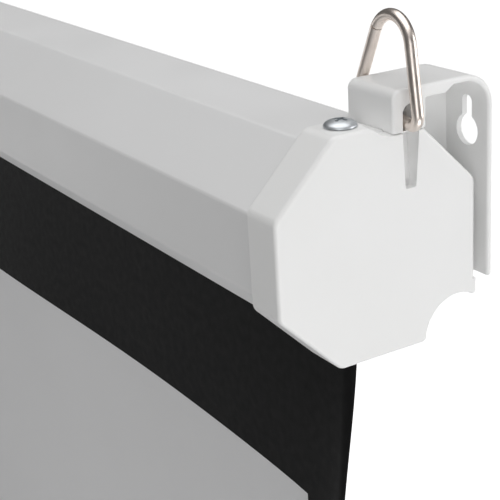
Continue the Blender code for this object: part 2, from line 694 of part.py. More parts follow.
def make_bracket(name):
    bracket = plate(name, rounded(bracket_outline(), step=math.radians(12)), -BRACKET_WIDTH, 0.0,
                    WHITE_PLASTIC)
    bevel = bracket.modifiers.new("rounded edges", "BEVEL")
    bevel.width = BRACKET_ROUND
    bevel.segments = 2
    bevel.limit_method = "ANGLE"
    bevel.angle_limit = math.radians(50)
    wall = CASE_FROM_WALL
    top = HANG_Z + BRACKET_RISE
    foot = HANG_Z - BRACKET_DROP
    middle = BRACKET_PLATE / 2
    slant = CASE_SLANT + math.sqrt(2) * WEB_ROOM
    behind = CASE_WIDTH / 2 + WEB_ROOM
    web_front = BLOCK_Y + BLOCK_LENGTH - middle
    web_outline = [(web_front, slant - web_front), (behind, slant - behind), (behind, foot + 6 * middle),
                   (wall - middle, foot + middle), (wall - middle, top - BRACKET_CORNER),
                   (wall - BRACKET_CORNER, top - middle), (web_front, top - middle)]
    rebate = box(f"{name} rebate", (-2 * BRACKET_WIDTH, -BLOCK_FRONT, RECESS_Z - 2 * SEAT_STEP),
                 (GAP - SEAT_STEP_WIDTH, EYE_Y + BLOCK_LENGTH, RECESS_Z + GAP))
    cut(bracket, rebate)
    web = plate(f"{name} web", web_outline, middle / 4 - BRACKET_WIDTH, WEB_THICKNESS - BRACKET_WIDTH)
    barb_top = CAVITY_TOP - GAP
    barb_low = barb_top - PRONG_BARB / 2
    tip = barb_top - PRONG_LENGTH
    rear = PRONG_Y + PRONG_THICKNESS
    prong_outline = [(PRONG_Y, RECESS_Z + 2 * middle), (PRONG_Y, barb_top), (PRONG_Y - PRONG_BARB, barb_top),
                     (PRONG_Y - PRONG_BARB, barb_low), (PRONG_Y + PRONG_THICKNESS / 4, tip), (rear, tip),
                     (rear, RECESS_Z + 2 * middle)]
    prong = plate(f"{name} prong", prong_outline, -PRONG_INSET - PRONG_WIDTH, -PRONG_INSET)
    join(bracket, web, prong)
    eye_top = HANG_Z + EYE_TOP
    half_eye = EYE_WIDTH / 2
    eye_outline = [(EYE_Y - half_eye, RECESS_Z - half_eye), (EYE_Y + half_eye, RECESS_Z - half_eye),
                   (EYE_Y + half_eye, eye_top, half_eye), (EYE_Y - half_eye, eye_top, half_eye)]
    eye = plate(f"{name} eye", rounded(eye_outline), -2 * BRACKET_WIDTH, BRACKET_WIDTH)
    half_slot = KEYHOLE_SLOT / 2
    slot_outline = [(-half_slot, -KEYHOLE_DROP), (half_slot, -KEYHOLE_DROP),
                    (half_slot, half_slot, half_slot), (-half_slot, half_slot, half_slot)]
    across_y = Matrix(((1, 0, 0, -KEYHOLE_INSET), (0, 0, -1, wall), (0, 1, 0, HANG_Z), (0, 0, 0, 1)))
    slot = plate(f"{name} keyhole slot", rounded(slot_outline), -BRACKET_PLATE, 2 * BRACKET_PLATE,
                 frame=across_y)
    round_z = HANG_Z - KEYHOLE_DROP
    hole = cylinder(f"{name} keyhole", (-KEYHOLE_INSET, wall - 2 * BRACKET_PLATE, round_z),
                    (-KEYHOLE_INSET, wall + BRACKET_PLATE, round_z), KEYHOLE_RADIUS)
    cut(bracket, eye, slot, hole)
    return shade(bake(bracket))


def make_brackets(right, left):
    bracket = hang_on(make_bracket("wall_bracket_right"), right)
    copy_of(bracket, "wall_bracket_left", left)


# Hanging rings

def ring_points():
    """Middle line of the bent wire, from one side of its butt joint round to the other."""
    half = RING_HALF_WIDTH
    slope = math.sin(RING_LEG_ANGLE)
    rise = math.cos(RING_LEG_ANGLE)
    centre = (half * rise - RING_TOP_RADIUS) / slope
    peak = half / math.tan(RING_LEG_ANGLE)
    ring = rounded([(0.0, 0.0), (half, 0.0, RING_CORNER), (0.0, peak, RING_TOP_RADIUS),
                    (-half, 0.0, RING_CORNER), (0.0, 0.0)], closed=False, step=math.radians(14))
    turn = RING_LEG_ANGLE + RING_JOINT_TURN
    joint = (-RING_TOP_RADIUS * math.cos(turn), centre + RING_TOP_RADIUS * math.sin(turn))
    below_joint = [(a, b) for a, b in ring if a < 0 and b < joint[1]]
    rest = [(a, b) for a, b in ring if a > 0 or b > joint[1]]
    step = (math.sin(turn) * RING_JOINT / 2, math.cos(turn) * RING_JOINT / 2)
    order = [(joint[0] - step[0], joint[1] - step[1])] + below_joint + rest
    order.append((joint[0] + step[0], joint[1] + step[1]))
    return [(a, 0.0, b) for a, b in order]


def make_rings(right, left):
    ring = shade(wire("hanging_ring_right", ring_points(), WIRE_RADIUS, NICKEL))
    hang_on(ring, right, (-RING_INSET, EYE_Y, RING_Z))
    back = Matrix.Rotation(-RING_BACK, 4, "X")
    lean = Matrix.Rotation(RING_LEAN, 4, "Y")
    turn = Matrix.Rotation(-RING_TURN, 4, "Z")
    ring.rotation_euler = (turn @ lean @ back).to_euler()
    copy_of(ring, "hanging_ring_left", left)


# Roller

def make_roller():
    axis = (ROLLER_Y, ROLLER_Z)
    roller = empty("roller axis", (0.0, *axis))
    local = (0.0, 0.0)
    tube_end = HALF_LENGTH - TUBE_INSET
    flange_end = tube_end + HEAD_FLANGE
    bore = TUBE_RADIUS - TUBE_WALL - GAP
    tube = sleeve("roller_tube", -tube_end, tube_end, TUBE_RADIUS, TUBE_WALL, local, ZINC, segments=36)
    hang_on(shade(tube), roller)

    head = cylinder("roller_head", (tube_end - HEAD_PLUG, *local), (tube_end - GAP, *local), bore, STEEL)
    flange = cylinder("head flange", (tube_end + GAP, *local), (flange_end, *local), TUBE_RADIUS)
    neck = cylinder("head neck", (tube_end - HEAD_PLUG / 2, *local), (flange_end - HEAD_FLANGE / 2, *local),
                    bore - TUBE_WALL)
    passage = cylinder("head passage", (tube_end - 2 * HEAD_PLUG, *local), (HALF_LENGTH, *local),
                       ARBOR_RADIUS + RUNNING)
    join(head, neck, flange)
    cut(head, passage)
    for number, sign in enumerate((1, -1)):
        pin_hole = cylinder(f"pivot hole {number}",
                            (flange_end - HEAD_FLANGE, sign * PAWL_BACK, sign * PAWL_HIGH),
                            (HALF_LENGTH, sign * PAWL_BACK, sign * PAWL_HIGH), PIVOT_RADIUS + GAP,
                            segments=16)
        cut(head, pin_hole)
    hang_on(shade(bake(head)), roller)

    plug_end = -tube_end + 2 * HEAD_PLUG
    plug = cylinder("roller_plug", (-tube_end + GAP, *local), (plug_end, *local), bore, NYLON)
    plug_flange = cylinder("plug flange", (-flange_end, *local), (-tube_end - GAP, *local), TUBE_RADIUS)
    plug_neck = cylinder("plug neck", (-flange_end + HEAD_FLANGE / 2, *local),
                         (-tube_end + HEAD_PLUG, *local), bore - TUBE_WALL)
    gudgeon_end = -tube_end + GUDGEON_TAIL
    seat = cylinder("gudgeon seat", (-HALF_LENGTH, *local), (gudgeon_end + GAP, *local),
                    GUDGEON_RADIUS + GAP)
    join(plug, plug_neck, plug_flange)
    cut(plug, seat)
    hang_on(shade(bake(plug)), roller)
    gudgeon = cylinder("gudgeon_pin", (-HALF_LENGTH + CAP_PLATE + GAP, *local), (gudgeon_end, *local),
                       GUDGEON_RADIUS, STEEL)
    hang_on(shade(gudgeon), roller)

    steps = math.ceil(WRAP_TURNS * 24)
    turn = 2 * math.pi * WRAP_TURNS / steps
    spiral = [(WRAP_RADIUS - WRAP_PITCH * WRAP_TURNS * n / steps, turn * n) for n in range(steps + 1)]
    path = [(radius * math.cos(angle), radius * math.sin(angle)) for radius, angle in spiral]
    wrap = folded("sheet_wrap", path, -SHEET_WIDTH / 2, SHEET_WIDTH / 2, SHEET_THICKNESS, SHEET_BLACK)
    hang_on(shade(wrap), roller)
    make_lock(roller, flange_end)
    return roller


def pawl_outline():
    """A pawl about its pivot: a round hub and an arm with a blunt nose."""
    hub = [(PAWL_HUB * math.cos(a), PAWL_HUB * math.sin(a))
           for a in (math.radians(22.5 * n - 90) for n in range(9))]
    nose_low = DISC_RADIUS + 2 * RUNNING - PAWL_HIGH
    nose_high = nose_low + 0.7 * PAWL_HUB
    return hub + [(-PAWL_BACK * 0.53, nose_high), (-PAWL_BACK, nose_high), (-PAWL_BACK, nose_low),
                  (-PAWL_BACK * 0.95, nose_low), (-PAWL_BACK * 0.58, nose_low - PAWL_HUB / 3),
                  (-PAWL_BACK * 0.32, nose_low - 0.75 * PAWL_HUB)]


def make_lock(roller, flange_end):
    """The two pawls on the roller's head, their pivots, and the fixed disc that they catch on."""
    disc_right = HALF_LENGTH - DISC_INSET
    pawl_right = disc_right - (DISC_THICKNESS - PAWL_THICKNESS) / 2
    pawl_left = pawl_right - PAWL_THICKNESS
    pawl = plate("pawl_upper", pawl_outline(), pawl_left, pawl_right, STEEL)
    pin_hole = cylinder("pawl hole", (pawl_left - PAWL_THICKNESS, 0.0, 0.0),
                        (pawl_right + PAWL_THICKNESS, 0.0, 0.0), PIVOT_RADIUS + RUNNING, segments=20)
    cut(pawl, pin_hole)
    pawl = shade(bake(pawl))
    hang_on(pawl, roller, (0.0, PAWL_BACK, PAWL_HIGH))
    lower = copy_of(pawl, "pawl_lower", roller)
    lower.location = (0.0, -PAWL_BACK, -PAWL_HIGH)
    lower.rotation_euler.x = math.pi
    pivot = cylinder("pawl_pivot_upper", (flange_end - HEAD_FLANGE / 2, 0.0, 0.0),
                     (pawl_right + GAP, 0.0, 0.0), PIVOT_RADIUS, STEEL, segments=16)
    hang_on(shade(pivot), roller, (0.0, PAWL_BACK, PAWL_HIGH))
    other = copy_of(pivot, "pawl_pivot_lower", roller)
    other.location = (0.0, -PAWL_BACK, -PAWL_HIGH)


def make_fixed_core(roller):
    """Spear, arbor, spring and locking disc, which the roller turns round, and the two bearings."""
    core = empty("core axis", (0.0, ROLLER_Y, ROLLER_Z))
    local = (0.0, 0.0)
    cap_inside = HALF_LENGTH - CAP_PLATE - GAP
    arbor_end = HALF_LENGTH - ARBOR_INSET
    spear_low = arbor_end - SPEAR_TAIL
    half_thick = SPEAR_THICKNESS / 2
    half_high = SPEAR_HEIGHT / 2
    spear = box("spear_pin", (spear_low, -half_thick, -half_high), (cap_inside, half_thick, half_high), STEEL)
    hang_on(spear, core)

    arbor = cylinder("spring_arbor", (arbor_end - ARBOR_LENGTH, *local), (arbor_end, *local), ARBOR_RADIUS,
                     WOOD, segments=24)
    spear_seat = box("spear seat", (spear_low - GAP, -half_thick - GAP, -half_high - GAP),
                     (HALF_LENGTH, half_thick + GAP, half_high + GAP))
    cut(arbor, spear_seat)
    hang_on(shade(bake(arbor)), core)

    disc_right = HALF_LENGTH - DISC_INSET
    disc = cylinder("ratchet_disc", (disc_right - DISC_THICKNESS, *local), (disc_right, *local), DISC_RADIUS,
                    STEEL, segments=36)
    spear_hole = box("disc hole", (disc_right - 2 * DISC_THICKNESS, -half_thick - GAP, -half_high - GAP),
                     (HALF_LENGTH, half_thick + GAP, half_high + GAP))
    cut(disc, spear_hole)
    for number, sign in enumerate((1, -1)):
        ys = sorted((sign * 2 * DISC_RADIUS, -sign * NOTCH_FACE))
        zs = sorted((sign * NOTCH_FLOOR, sign * 2 * DISC_RADIUS))
        notch = box(f"disc notch {number}", (disc_right - 2 * DISC_THICKNESS, ys[0], zs[0]),
                    (HALF_LENGTH, ys[1], zs[1]))
        cut(disc, notch)
    hang_on(shade(bake(disc)), core)

    per_turn = 8
    count = SPRING_TURNS * per_turn
    points = []
    for number in range(count + 1):
        angle = 2 * math.pi * number / per_turn
        along = HALF_LENGTH - SPRING_START - SPRING_LENGTH * number / count
        points.append((along, SPRING_RADIUS * math.cos(angle), SPRING_RADIUS * math.sin(angle)))
    spring = wire("torsion_spring", points, SPRING_WIRE, STEEL, resolution=1)
    hang_on(shade(spring, 60), core)
    print(f"torsion spring: least gap between turns {least_gap(points, per_turn, SPRING_WIRE) * 1000:.2f} mm")

    bearing_right = arbor_end - ARBOR_LENGTH + ARBOR_BEARING
    ring_radius = TUBE_RADIUS - TUBE_WALL - GAP
    bearing = sleeve("arbor_bearing", bearing_right - ARBOR_BEARING, bearing_right, ring_radius,
                     ring_radius - ARBOR_RADIUS - RUNNING, local, NYLON, segments=28)
    hang_on(shade(bearing), roller)

    bush_left = -HALF_LENGTH + CAP_PLATE + GAP
    bush = sleeve("gudgeon_bush", bush_left, bush_left + BOSS_DEPTH - GAP, BUSH_RADIUS,
                  BUSH_RADIUS - GUDGEON_RADIUS - RUNNING, local, NYLON, segments=28)
    hang_on(shade(bush), core)


# Sheet

def smooth_step(value):
    value = min(1.0, max(0.0, value))
    return value * value * (3 - 2 * value)


def sheet_offset(x, z):
    """How far the sheet stands behind its straight plane at (x, z)."""
    from_edge = SHEET_WIDTH / 2 - abs(x)
    wave_length = 2 * (SHEET_WIDTH / 2 - WAVE_PEAK) / WAVE_HALF_COUNT
    fade = 1 - 0.4 * from_edge / (SHEET_WIDTH / 2)
    wave = WAVE_DEPTH * (fade * math.cos(2 * math.pi * (from_edge - WAVE_PEAK) / wave_length) - 0.25)
    lift = EDGE_LIFT * from_edge / EDGE_LIFT_AT * math.exp(1 - from_edge / EDGE_LIFT_AT)
    curl = EDGE_CURL * math.exp(-from_edge / EDGE_CURL_WIDTH)
    grow = smooth_step((CASE_BOTTOM - z) / WAVE_START)
    calm = smooth_step((z - BAR_Z - BAR_RADIUS) / WAVE_END)
    return (wave + lift - curl) * grow * calm


def spread(low, high, count):
    return [low + (high - low) * n / count for n in range(count)]


def make_sheet():
    """The hanging sheet: a black border round a white picture, with its soft waves."""
    half = SHEET_WIDTH / 2
    picture = PICTURE_WIDTH / 2
    columns = spread(-half, -picture, 3) + spread(-picture, picture, 36) + spread(picture, half, 3) + [half]
    top = ROLLER_Z - GAP
    rows = [top] + spread(CASE_BOTTOM, PICTURE_TOP, 3) + spread(PICTURE_TOP, PICTURE_BOTTOM, 6)
    rows += [PICTURE_BOTTOM, BAR_Z + BAR_RADIUS, BAR_Z + SHEET_END]
    bm = bmesh.new()
    bmesh.ops.create_grid(bm, x_segments=len(columns) - 1, y_segments=len(rows) - 1, size=0.5)
    for vertex in bm.verts:
        x = columns[round((vertex.co.x + 0.5) * (len(columns) - 1))]
        z = rows[round((0.5 - vertex.co.y) * (len(rows) - 1))]
        vertex.co = (x, SHEET_Y + sheet_offset(x, z), z)
    sheet = from_bmesh("screen_sheet", bm, SHEET_WHITE)
    sheet.data.materials.append(SHEET_BLACK)
    for face in sheet.data.polygons:
        inside = abs(face.center.x) < picture and PICTURE_BOTTOM < face.center.z < PICTURE_TOP
        face.material_index = 0 if inside else 1
    thicken(sheet, SHEET_THICKNESS)
    sheet.modifiers["wall"].offset = 0.0
    return shade(sheet)


# Bottom bar and handle, round the bar's axis

def make_bottom_bar():
    bar_frame = empty("bar axis", (0.0, SHEET_Y, BAR_Z))
    half = BAR_HALF_LENGTH
    slot_angle = math.asin(BAR_SLOT / 2 / BAR_RADIUS)
    steps = 30
    first = math.pi / 2 + slot_angle
    sweep = 2 * (math.pi - slot_angle)
    angles = [first + sweep * n / steps for n in range(steps + 1)]
    path = [(BAR_RADIUS * math.cos(angle), BAR_RADIUS * math.sin(angle)) for angle in angles]
    bar = folded("bottom_bar", path, -half, half, BAR_WALL, WHITE_PAINT)
    hang_on(bar, bar_frame)
    for side in (-1, 1):
        low = (side * CLIP_SCREW_AT, SHEET_Y, BAR_Z - 2 * BAR_RADIUS)
        high = (side * CLIP_SCREW_AT, SHEET_Y, BAR_Z - BAR_RADIUS / 2)
        cut(bar, cylinder(f"bar screw hole {side}", low, high, CLIP_SCREW_RADIUS + GAP, segments=16))
    shade(bar)

    plug_radius = BAR_RADIUS - BAR_WALL - GAP
    cap = turned("bar_cap_right", [(0.0, BAR_CAP), (BAR_RADIUS * 0.75, BAR_CAP), (BAR_RADIUS, BAR_CAP * 0.4),
                                   (BAR_RADIUS, GAP), (plug_radius, GAP), (plug_radius, -BAR_PLUG),
                                   (0.0, -BAR_PLUG)], BLACK_PLASTIC)
    hang_on(shade(cap), bar_frame, (half, 0.0, 0.0), (0.0, math.pi / 2, 0.0))
    other = copy_of(cap, "bar_cap_left", bar_frame)
    other.location.x = -half
    other.rotation_euler.y = -math.pi / 2

    rod_half = SHEET_WIDTH / 2 - BAR_PAST_SHEET / 2
    rod = cylinder("hem_rod", (-rod_half, 0.0, -ROD_DROP), (rod_half, 0.0, -ROD_DROP), ROD_RADIUS, NYLON,
                   segments=16)
    hang_on(shade(rod), bar_frame)
    loop_radius = ROD_RADIUS + GAP + SHEET_THICKNESS
    tab_y = SHEET_THICKNESS / 2 + GAP + SHEET_THICKNESS
    opening = math.asin(tab_y / loop_radius)
    loop_first = math.pi / 2 + opening
    loop_sweep = 2 * (math.pi - opening)
    loop_steps = 14
    loop = [(loop_radius * math.cos(loop_first + loop_sweep * n / loop_steps),
             loop_radius * math.sin(loop_first + loop_sweep * n / loop_steps) - ROD_DROP)
            for n in range(loop_steps + 1)]
    hem = folded("hem_pocket", loop + [(tab_y, HEM_TAB)], -rod_half, rod_half, SHEET_THICKNESS, SHEET_BLACK)
    hang_on(shade(hem), bar_frame)

    buffer = sleeve("bar_buffer_right", -BUFFER_WIDTH / 2, BUFFER_WIDTH / 2, BUFFER_RADIUS, BUFFER_WALL,
                    (0.0, 0.0), RUBBER)
    hang_on(shade(buffer), bar_frame, (SHEET_WIDTH / 2 + GAP + BUFFER_WIDTH / 2, 0.0, 0.0))
    other = copy_of(buffer, "bar_buffer_left", bar_frame)
    other.location.x = -buffer.location.x
    make_handle(bar_frame)


def make_handle(bar_frame):
    half_width = CLIP_WIDTH / 2
    foot = -CLIP_DEPTH
    corner = 0.0020
    saddle = rounded([(half_width, -BAR_RADIUS / 3), (-half_width, -BAR_RADIUS / 3),
                      (-half_width, foot, corner), (half_width, foot, corner)])
    clip = plate("handle_clip", saddle, -CLIP_LENGTH / 2, CLIP_LENGTH / 2, BLACK_PLASTIC)
    half_lug = LUG_WIDTH / 2
    lug_end = foot - LUG_DROP
    hinge_z = lug_end + half_lug
    for side in (-1, 1):
        outline = rounded([(half_lug, foot + corner / 2), (-half_lug, foot + corner / 2),
                           (-half_lug, lug_end, half_lug), (half_lug, lug_end, half_lug)])
        near, far = sorted((side * LUG_AT, side * (LUG_AT + LUG_THICKNESS)))
        join(clip, plate(f"lug {side}", outline, near, far))
    seat = cylinder("bar seat", (-CLIP_LENGTH, 0.0, 0.0), (CLIP_LENGTH, 0.0, 0.0), BAR_RADIUS + GAP,
                    segments=48)
    hinge = cylinder("hinge hole", (-CLIP_LENGTH, 0.0, hinge_z), (CLIP_LENGTH, 0.0, hinge_z),
                     BAIL_RADIUS + RUNNING, segments=24)
    cut(clip, seat, hinge)
    for side in (-1, 1):
        at = side * CLIP_SCREW_AT
        cut(clip, cylinder(f"clip screw hole {side}", (at, 0.0, foot - corner), (at, 0.0, 0.0),
                           CLIP_SCREW_RADIUS + GAP, segments=16))
    hang_on(shade(bake(clip)), bar_frame)

    inner = LUG_AT - GAP * 3
    half = BAIL_HALF_WIDTH
    path = rounded([(inner, 0.0), (half, 0.0, BAIL_CORNER / 1.6), (half, -BAIL_LENGTH, BAIL_CORNER),
                    (-half, -BAIL_LENGTH, BAIL_CORNER), (-half, 0.0, BAIL_CORNER / 1.6), (-inner, 0.0)],
                   closed=False, step=math.radians(15))
    bail = wire("pull_handle", [(a, 0.0, b) for a, b in path], BAIL_RADIUS, BLACK_PLASTIC, resolution=3)
    hang_on(shade(bail), bar_frame, (0.0, 0.0, hinge_z))

    tip = foot + CLIP_DEPTH / 2
    under = foot - GAP
    profile = [(0.0, tip), (CLIP_SCREW_RADIUS, tip), (CLIP_SCREW_RADIUS, under), (CLIP_SCREW_HEAD, under),
               (CLIP_SCREW_HEAD, foot - 2.5 * GAP), (CLIP_SCREW_HEAD * 0.7, foot - CLIP_SCREW_RADIUS),
               (0.0, foot - CLIP_SCREW_RADIUS)]
    screw = turned("clip_screw_right", profile, ZINC, segments=16)
    hang_on(shade(screw), bar_frame, (CLIP_SCREW_AT, 0.0, 0.0))
    other = copy_of(screw, "clip_screw_left", bar_frame)
    other.location.x = -CLIP_SCREW_AT


def main():
    right = empty("right end", (HALF_LENGTH, AXIS_Y, AXIS_Z))
    left = empty("left end", (-HALF_LENGTH, AXIS_Y, AXIS_Z))
    left.scale.x = -1.0
    make_case()
    make_caps(right, left)
    make_cap_screws(right, left)
    make_brackets(right, left)
    make_rings(right, left)
    make_fixed_core(make_roller())
    make_sheet()
    make_bottom_bar()
    print(f"case length {2 * HALF_LENGTH:.4f} m, bar travel {TRAVEL:.4f} m")


main()
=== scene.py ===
# %% [markdown]
# A pull-down projection screen, looked at closely from its right-hand end. A folded white case is closed by
# a moulded end cap. A hook bracket drops into the cap and carries the case on the wall, a wire ring through
# the bracket takes a ceiling hook instead, and the sheet hangs out of the case with a weighted bar below.
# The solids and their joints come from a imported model. This lesson gives every piece its fine form and
# finish, one cell at a time, and never moves what the model has put in place.

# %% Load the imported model
import json
import math

import bmesh
import bpy
from mathutils import Matrix, Vector


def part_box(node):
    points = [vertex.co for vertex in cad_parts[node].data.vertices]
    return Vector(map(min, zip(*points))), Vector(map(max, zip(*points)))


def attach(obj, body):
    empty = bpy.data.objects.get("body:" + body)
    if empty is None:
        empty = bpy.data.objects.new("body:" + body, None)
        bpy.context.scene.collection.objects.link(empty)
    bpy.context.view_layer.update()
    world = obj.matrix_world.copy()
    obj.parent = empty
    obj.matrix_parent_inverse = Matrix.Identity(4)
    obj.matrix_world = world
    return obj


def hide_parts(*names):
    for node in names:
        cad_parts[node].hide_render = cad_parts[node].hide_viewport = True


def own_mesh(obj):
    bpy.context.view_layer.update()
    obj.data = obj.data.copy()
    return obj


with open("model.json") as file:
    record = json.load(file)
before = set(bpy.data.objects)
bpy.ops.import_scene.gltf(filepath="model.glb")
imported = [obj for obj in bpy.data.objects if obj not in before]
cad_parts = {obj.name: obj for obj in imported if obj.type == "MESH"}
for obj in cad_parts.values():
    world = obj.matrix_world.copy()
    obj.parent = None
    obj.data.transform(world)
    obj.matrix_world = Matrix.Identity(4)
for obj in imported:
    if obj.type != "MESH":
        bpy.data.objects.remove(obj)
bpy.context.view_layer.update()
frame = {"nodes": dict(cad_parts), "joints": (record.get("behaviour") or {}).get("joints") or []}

scene = bpy.context.scene

# %% [markdown]
# The camera stands just past the screen's right end, a little above the case and in front of it, and looks
# back along it. Its place and turn were found from the straight edges of the case. They could be given as
# three angles, but a camera's own right, up and forward directions are easier to check against the picture,
# so its matrix is built from them.

# %% Stand the camera where the picture was taken
CAMERA_PLACE = (1.1596, -0.2595, 0.1016)
CAMERA_FORWARD = (-0.8085, 0.4718, -0.3518)
CAMERA_UP = (-0.272, 0.2305, 0.9343)
CAMERA_LENS = 92.61
forward = Vector(CAMERA_FORWARD).normalized()
right = forward.cross(Vector(CAMERA_UP)).normalized()
up = right.cross(forward)
camera = bpy.data.objects.new("camera", bpy.data.cameras.new("camera"))
camera.matrix_world = Matrix((right, up, -forward)).transposed().to_4x4()
camera.location = CAMERA_PLACE
camera.data.sensor_width = 36.0
camera.data.lens = CAMERA_LENS
camera.data.clip_start = 0.01
scene.collection.objects.link(camera)
scene.camera = camera
print("camera", CAMERA_PLACE, "lens", CAMERA_LENS)

# %% [markdown]
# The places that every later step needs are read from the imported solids: the case's axis lies in the middle
# of its end cap, the roller's in the middle of its tube and the bar's in the middle of the bar. GAP is the
# play that is left between pieces that fit into one another.

# %% Read the main places from the solids
def middle(node):
    low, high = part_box(node)
    return (low + high) / 2


HALF_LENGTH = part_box("end_cap_right")[1].x
CASE_AXIS = Vector((0.0, middle("end_cap_right").y, middle("end_cap_right").z))
ROLLER_AXIS = Vector((0.0, middle("roller_tube").y, middle("roller_tube").z))
BAR_AXIS = Vector((0.0, middle("bottom_bar").y, middle("bottom_bar").z))
HANG_Z = -CASE_AXIS.z
WALL = -CASE_AXIS.y
GAP = 0.0003
print("case axis", CASE_AXIS[:], "half length", round(HALF_LENGTH, 4))

# %% [markdown]
# Shading trees and geometry trees are both nodes joined by links. One helper makes a node, sets its options
# and fills its sockets, and a socket is either a value or another node's output. Most nodes are made for
# their first output alone, so a second helper gives just that, and a third does arithmetic.

# %% Helpers for nodes
def node(tree, kind, sockets=None, **options):
    made = tree.nodes.new(kind)
    for name, value in options.items():
        setattr(made, name, value)
    for key, value in (sockets or {}).items():
        if isinstance(value, bpy.types.NodeSocket):
            tree.links.new(value, made.inputs[key])
        else:
            made.inputs[key].default_value = value
    return made


def result(tree, kind, sockets=None, **options):
    """The first output of a new node."""
    return node(tree, kind, sockets, **options).outputs[0]


def sums(tree, operation, *values):
    """One arithmetic step on values or sockets. Shading trees and geometry trees share this node."""
    return result(tree, "ShaderNodeMath", dict(enumerate(values)), operation=operation)


def split(tree, socket):
    """The x, y and z of a vector socket."""
    return tuple(node(tree, "ShaderNodeSeparateXYZ", {0: socket}).outputs)


def position_in(tree):
    return split(tree, result(tree, "GeometryNodeInputPosition"))


def short_forms(tree):
    """For one tree: steps(operation, values), times(values) and vector(x, y, z)."""
    def steps(operation, *values):
        return sums(tree, operation, *values)

    def times(first, *others):
        for value in others:
            first = steps("MULTIPLY", first, value)
        return first

    def vector(x, y, z):
        return result(tree, "ShaderNodeCombineXYZ", {0: x, 1: y, 2: z})

    return steps, times, vector


# %% [markdown]
# A finish is never one flat colour. Even new white plastic drifts a little in tone, its gloss changes where
# it has been handled, and it has a fine skin that softens each highlight. A finish here has a colour between
# two tones that drifts over a few centimetres, and a grain that moves both the gloss and a slight bump.
# It reads Object coordinates in metres, so the pattern keeps its real size on every piece.

# %% A helper for finishes
def new_finish(name, colour, roughness, metallic=0.0):
    material = bpy.data.materials.new(name)
    material.use_nodes = True
    shader = material.node_tree.nodes["Principled BSDF"]
    shader.inputs["Base Color"].default_value = (*colour, 1.0)
    shader.inputs["Roughness"].default_value = roughness
    shader.inputs["Metallic"].default_value = metallic
    material.diffuse_color = (*colour, 1.0)
    return material, material.node_tree, shader


def place_of(tree, stretch=(1.0, 1.0, 1.0), uv=False):
    """A point's place on the piece, in metres, stretched where a pattern runs one way."""
    source = node(tree, "ShaderNodeTexCoord").outputs["UV" if uv else "Object"]
    return result(tree, "ShaderNodeMapping", {"Vector": source, "Scale": stretch})


def speckle(tree, vector, size, detail=2.0):
    """Noise from 0 to 1 whose patches are about size metres across."""
    return result(tree, "ShaderNodeTexNoise", {"Vector": vector, "Scale": 1.0 / size, "Detail": detail})


def between(tree, value, low, high, start=0.25, end=0.75, **options):
    """Turns a value that runs from start to end into one that runs from low to high."""
    sockets = {"Value": value, "From Min": start, "From Max": end, "To Min": low, "To Max": high}
    return result(tree, "ShaderNodeMapRange", sockets, **options)


def blend_colours(tree, share, first, second):
    ends = [value if isinstance(value, bpy.types.NodeSocket) else (*value, 1.0) for value in (first, second)]
    return node(tree, "ShaderNodeMix", {0: share, 6: ends[0], 7: ends[1]}, data_type="RGBA").outputs[2]


def raise_skin(tree, shader, height, depth):
    """Gives the surface a bump of that depth in metres."""
    bump = result(tree, "ShaderNodeBump", {"Height": height, "Distance": depth, "Strength": 1.0})
    tree.links.new(bump, shader.inputs["Normal"])


def drifting_finish(name, light, dark, gloss, patch, grain, depth, metallic=0.0, stretch=(1.0, 1.0, 1.0)):
    material, tree, shader = new_finish(name, light, sum(gloss) / 2, metallic)
    place = place_of(tree, stretch)
    drift = between(tree, speckle(tree, place, patch, 3.0), 0.0, 1.0)
    skin = speckle(tree, place, grain)
    handled = speckle(tree, place, patch / 3, 1.0)
    tree.links.new(blend_colours(tree, drift, light, dark), shader.inputs["Base Color"])
    tree.links.new(between(tree, handled, *gloss), shader.inputs["Roughness"])
    raise_skin(tree, shader, skin, depth)
    return material


# %% [markdown]
# The caps and brackets are moulded white plastic with a soft sheen and a barely visible skin. The case and
# the bar are folded steel with baked white paint, whose skin looks like orange peel close up. The grips,
# bar caps and clip are black plastic, with a coarser moulded texture that hides finger marks.

# %% White plastic, white paint and black plastic
WHITE_PLASTIC = drifting_finish("white moulded plastic", (0.87, 0.87, 0.867), (0.85, 0.85, 0.842),
                                gloss=(0.30, 0.38), patch=0.045, grain=0.0011, depth=0.000008)
WHITE_PAINT = drifting_finish("white baked paint", (0.80, 0.80, 0.802), (0.78, 0.78, 0.78),
                              gloss=(0.36, 0.44), patch=0.080, grain=0.0016, depth=0.000016)
BLACK_PLASTIC = drifting_finish("black moulded plastic", (0.022, 0.022, 0.023), (0.034, 0.034, 0.034),
                                gloss=(0.38, 0.52), patch=0.030, grain=0.0006, depth=0.000045)
RUBBER = drifting_finish("black rubber", (0.018, 0.018, 0.018), (0.034, 0.033, 0.031),
                         gloss=(0.72, 0.90), patch=0.012, grain=0.0005, depth=0.000050)
NYLON = drifting_finish("natural nylon", (0.76, 0.74, 0.67), (0.68, 0.66, 0.59),
                        gloss=(0.38, 0.52), patch=0.020, grain=0.0008, depth=0.000015)
print("plastic and paint", [finish.name for finish in (WHITE_PLASTIC, WHITE_PAINT, BLACK_PLASTIC)])

# %% [markdown]
# The metals take most of their look from what they reflect. Drawn wire and tube keep fine marks along their
# length, so their grain is stretched along X. The ring's nickel plate is bright and slightly warm, the
# screws and the tube have the colder, cloudier look of zinc, and the hidden parts are oiled bright steel.

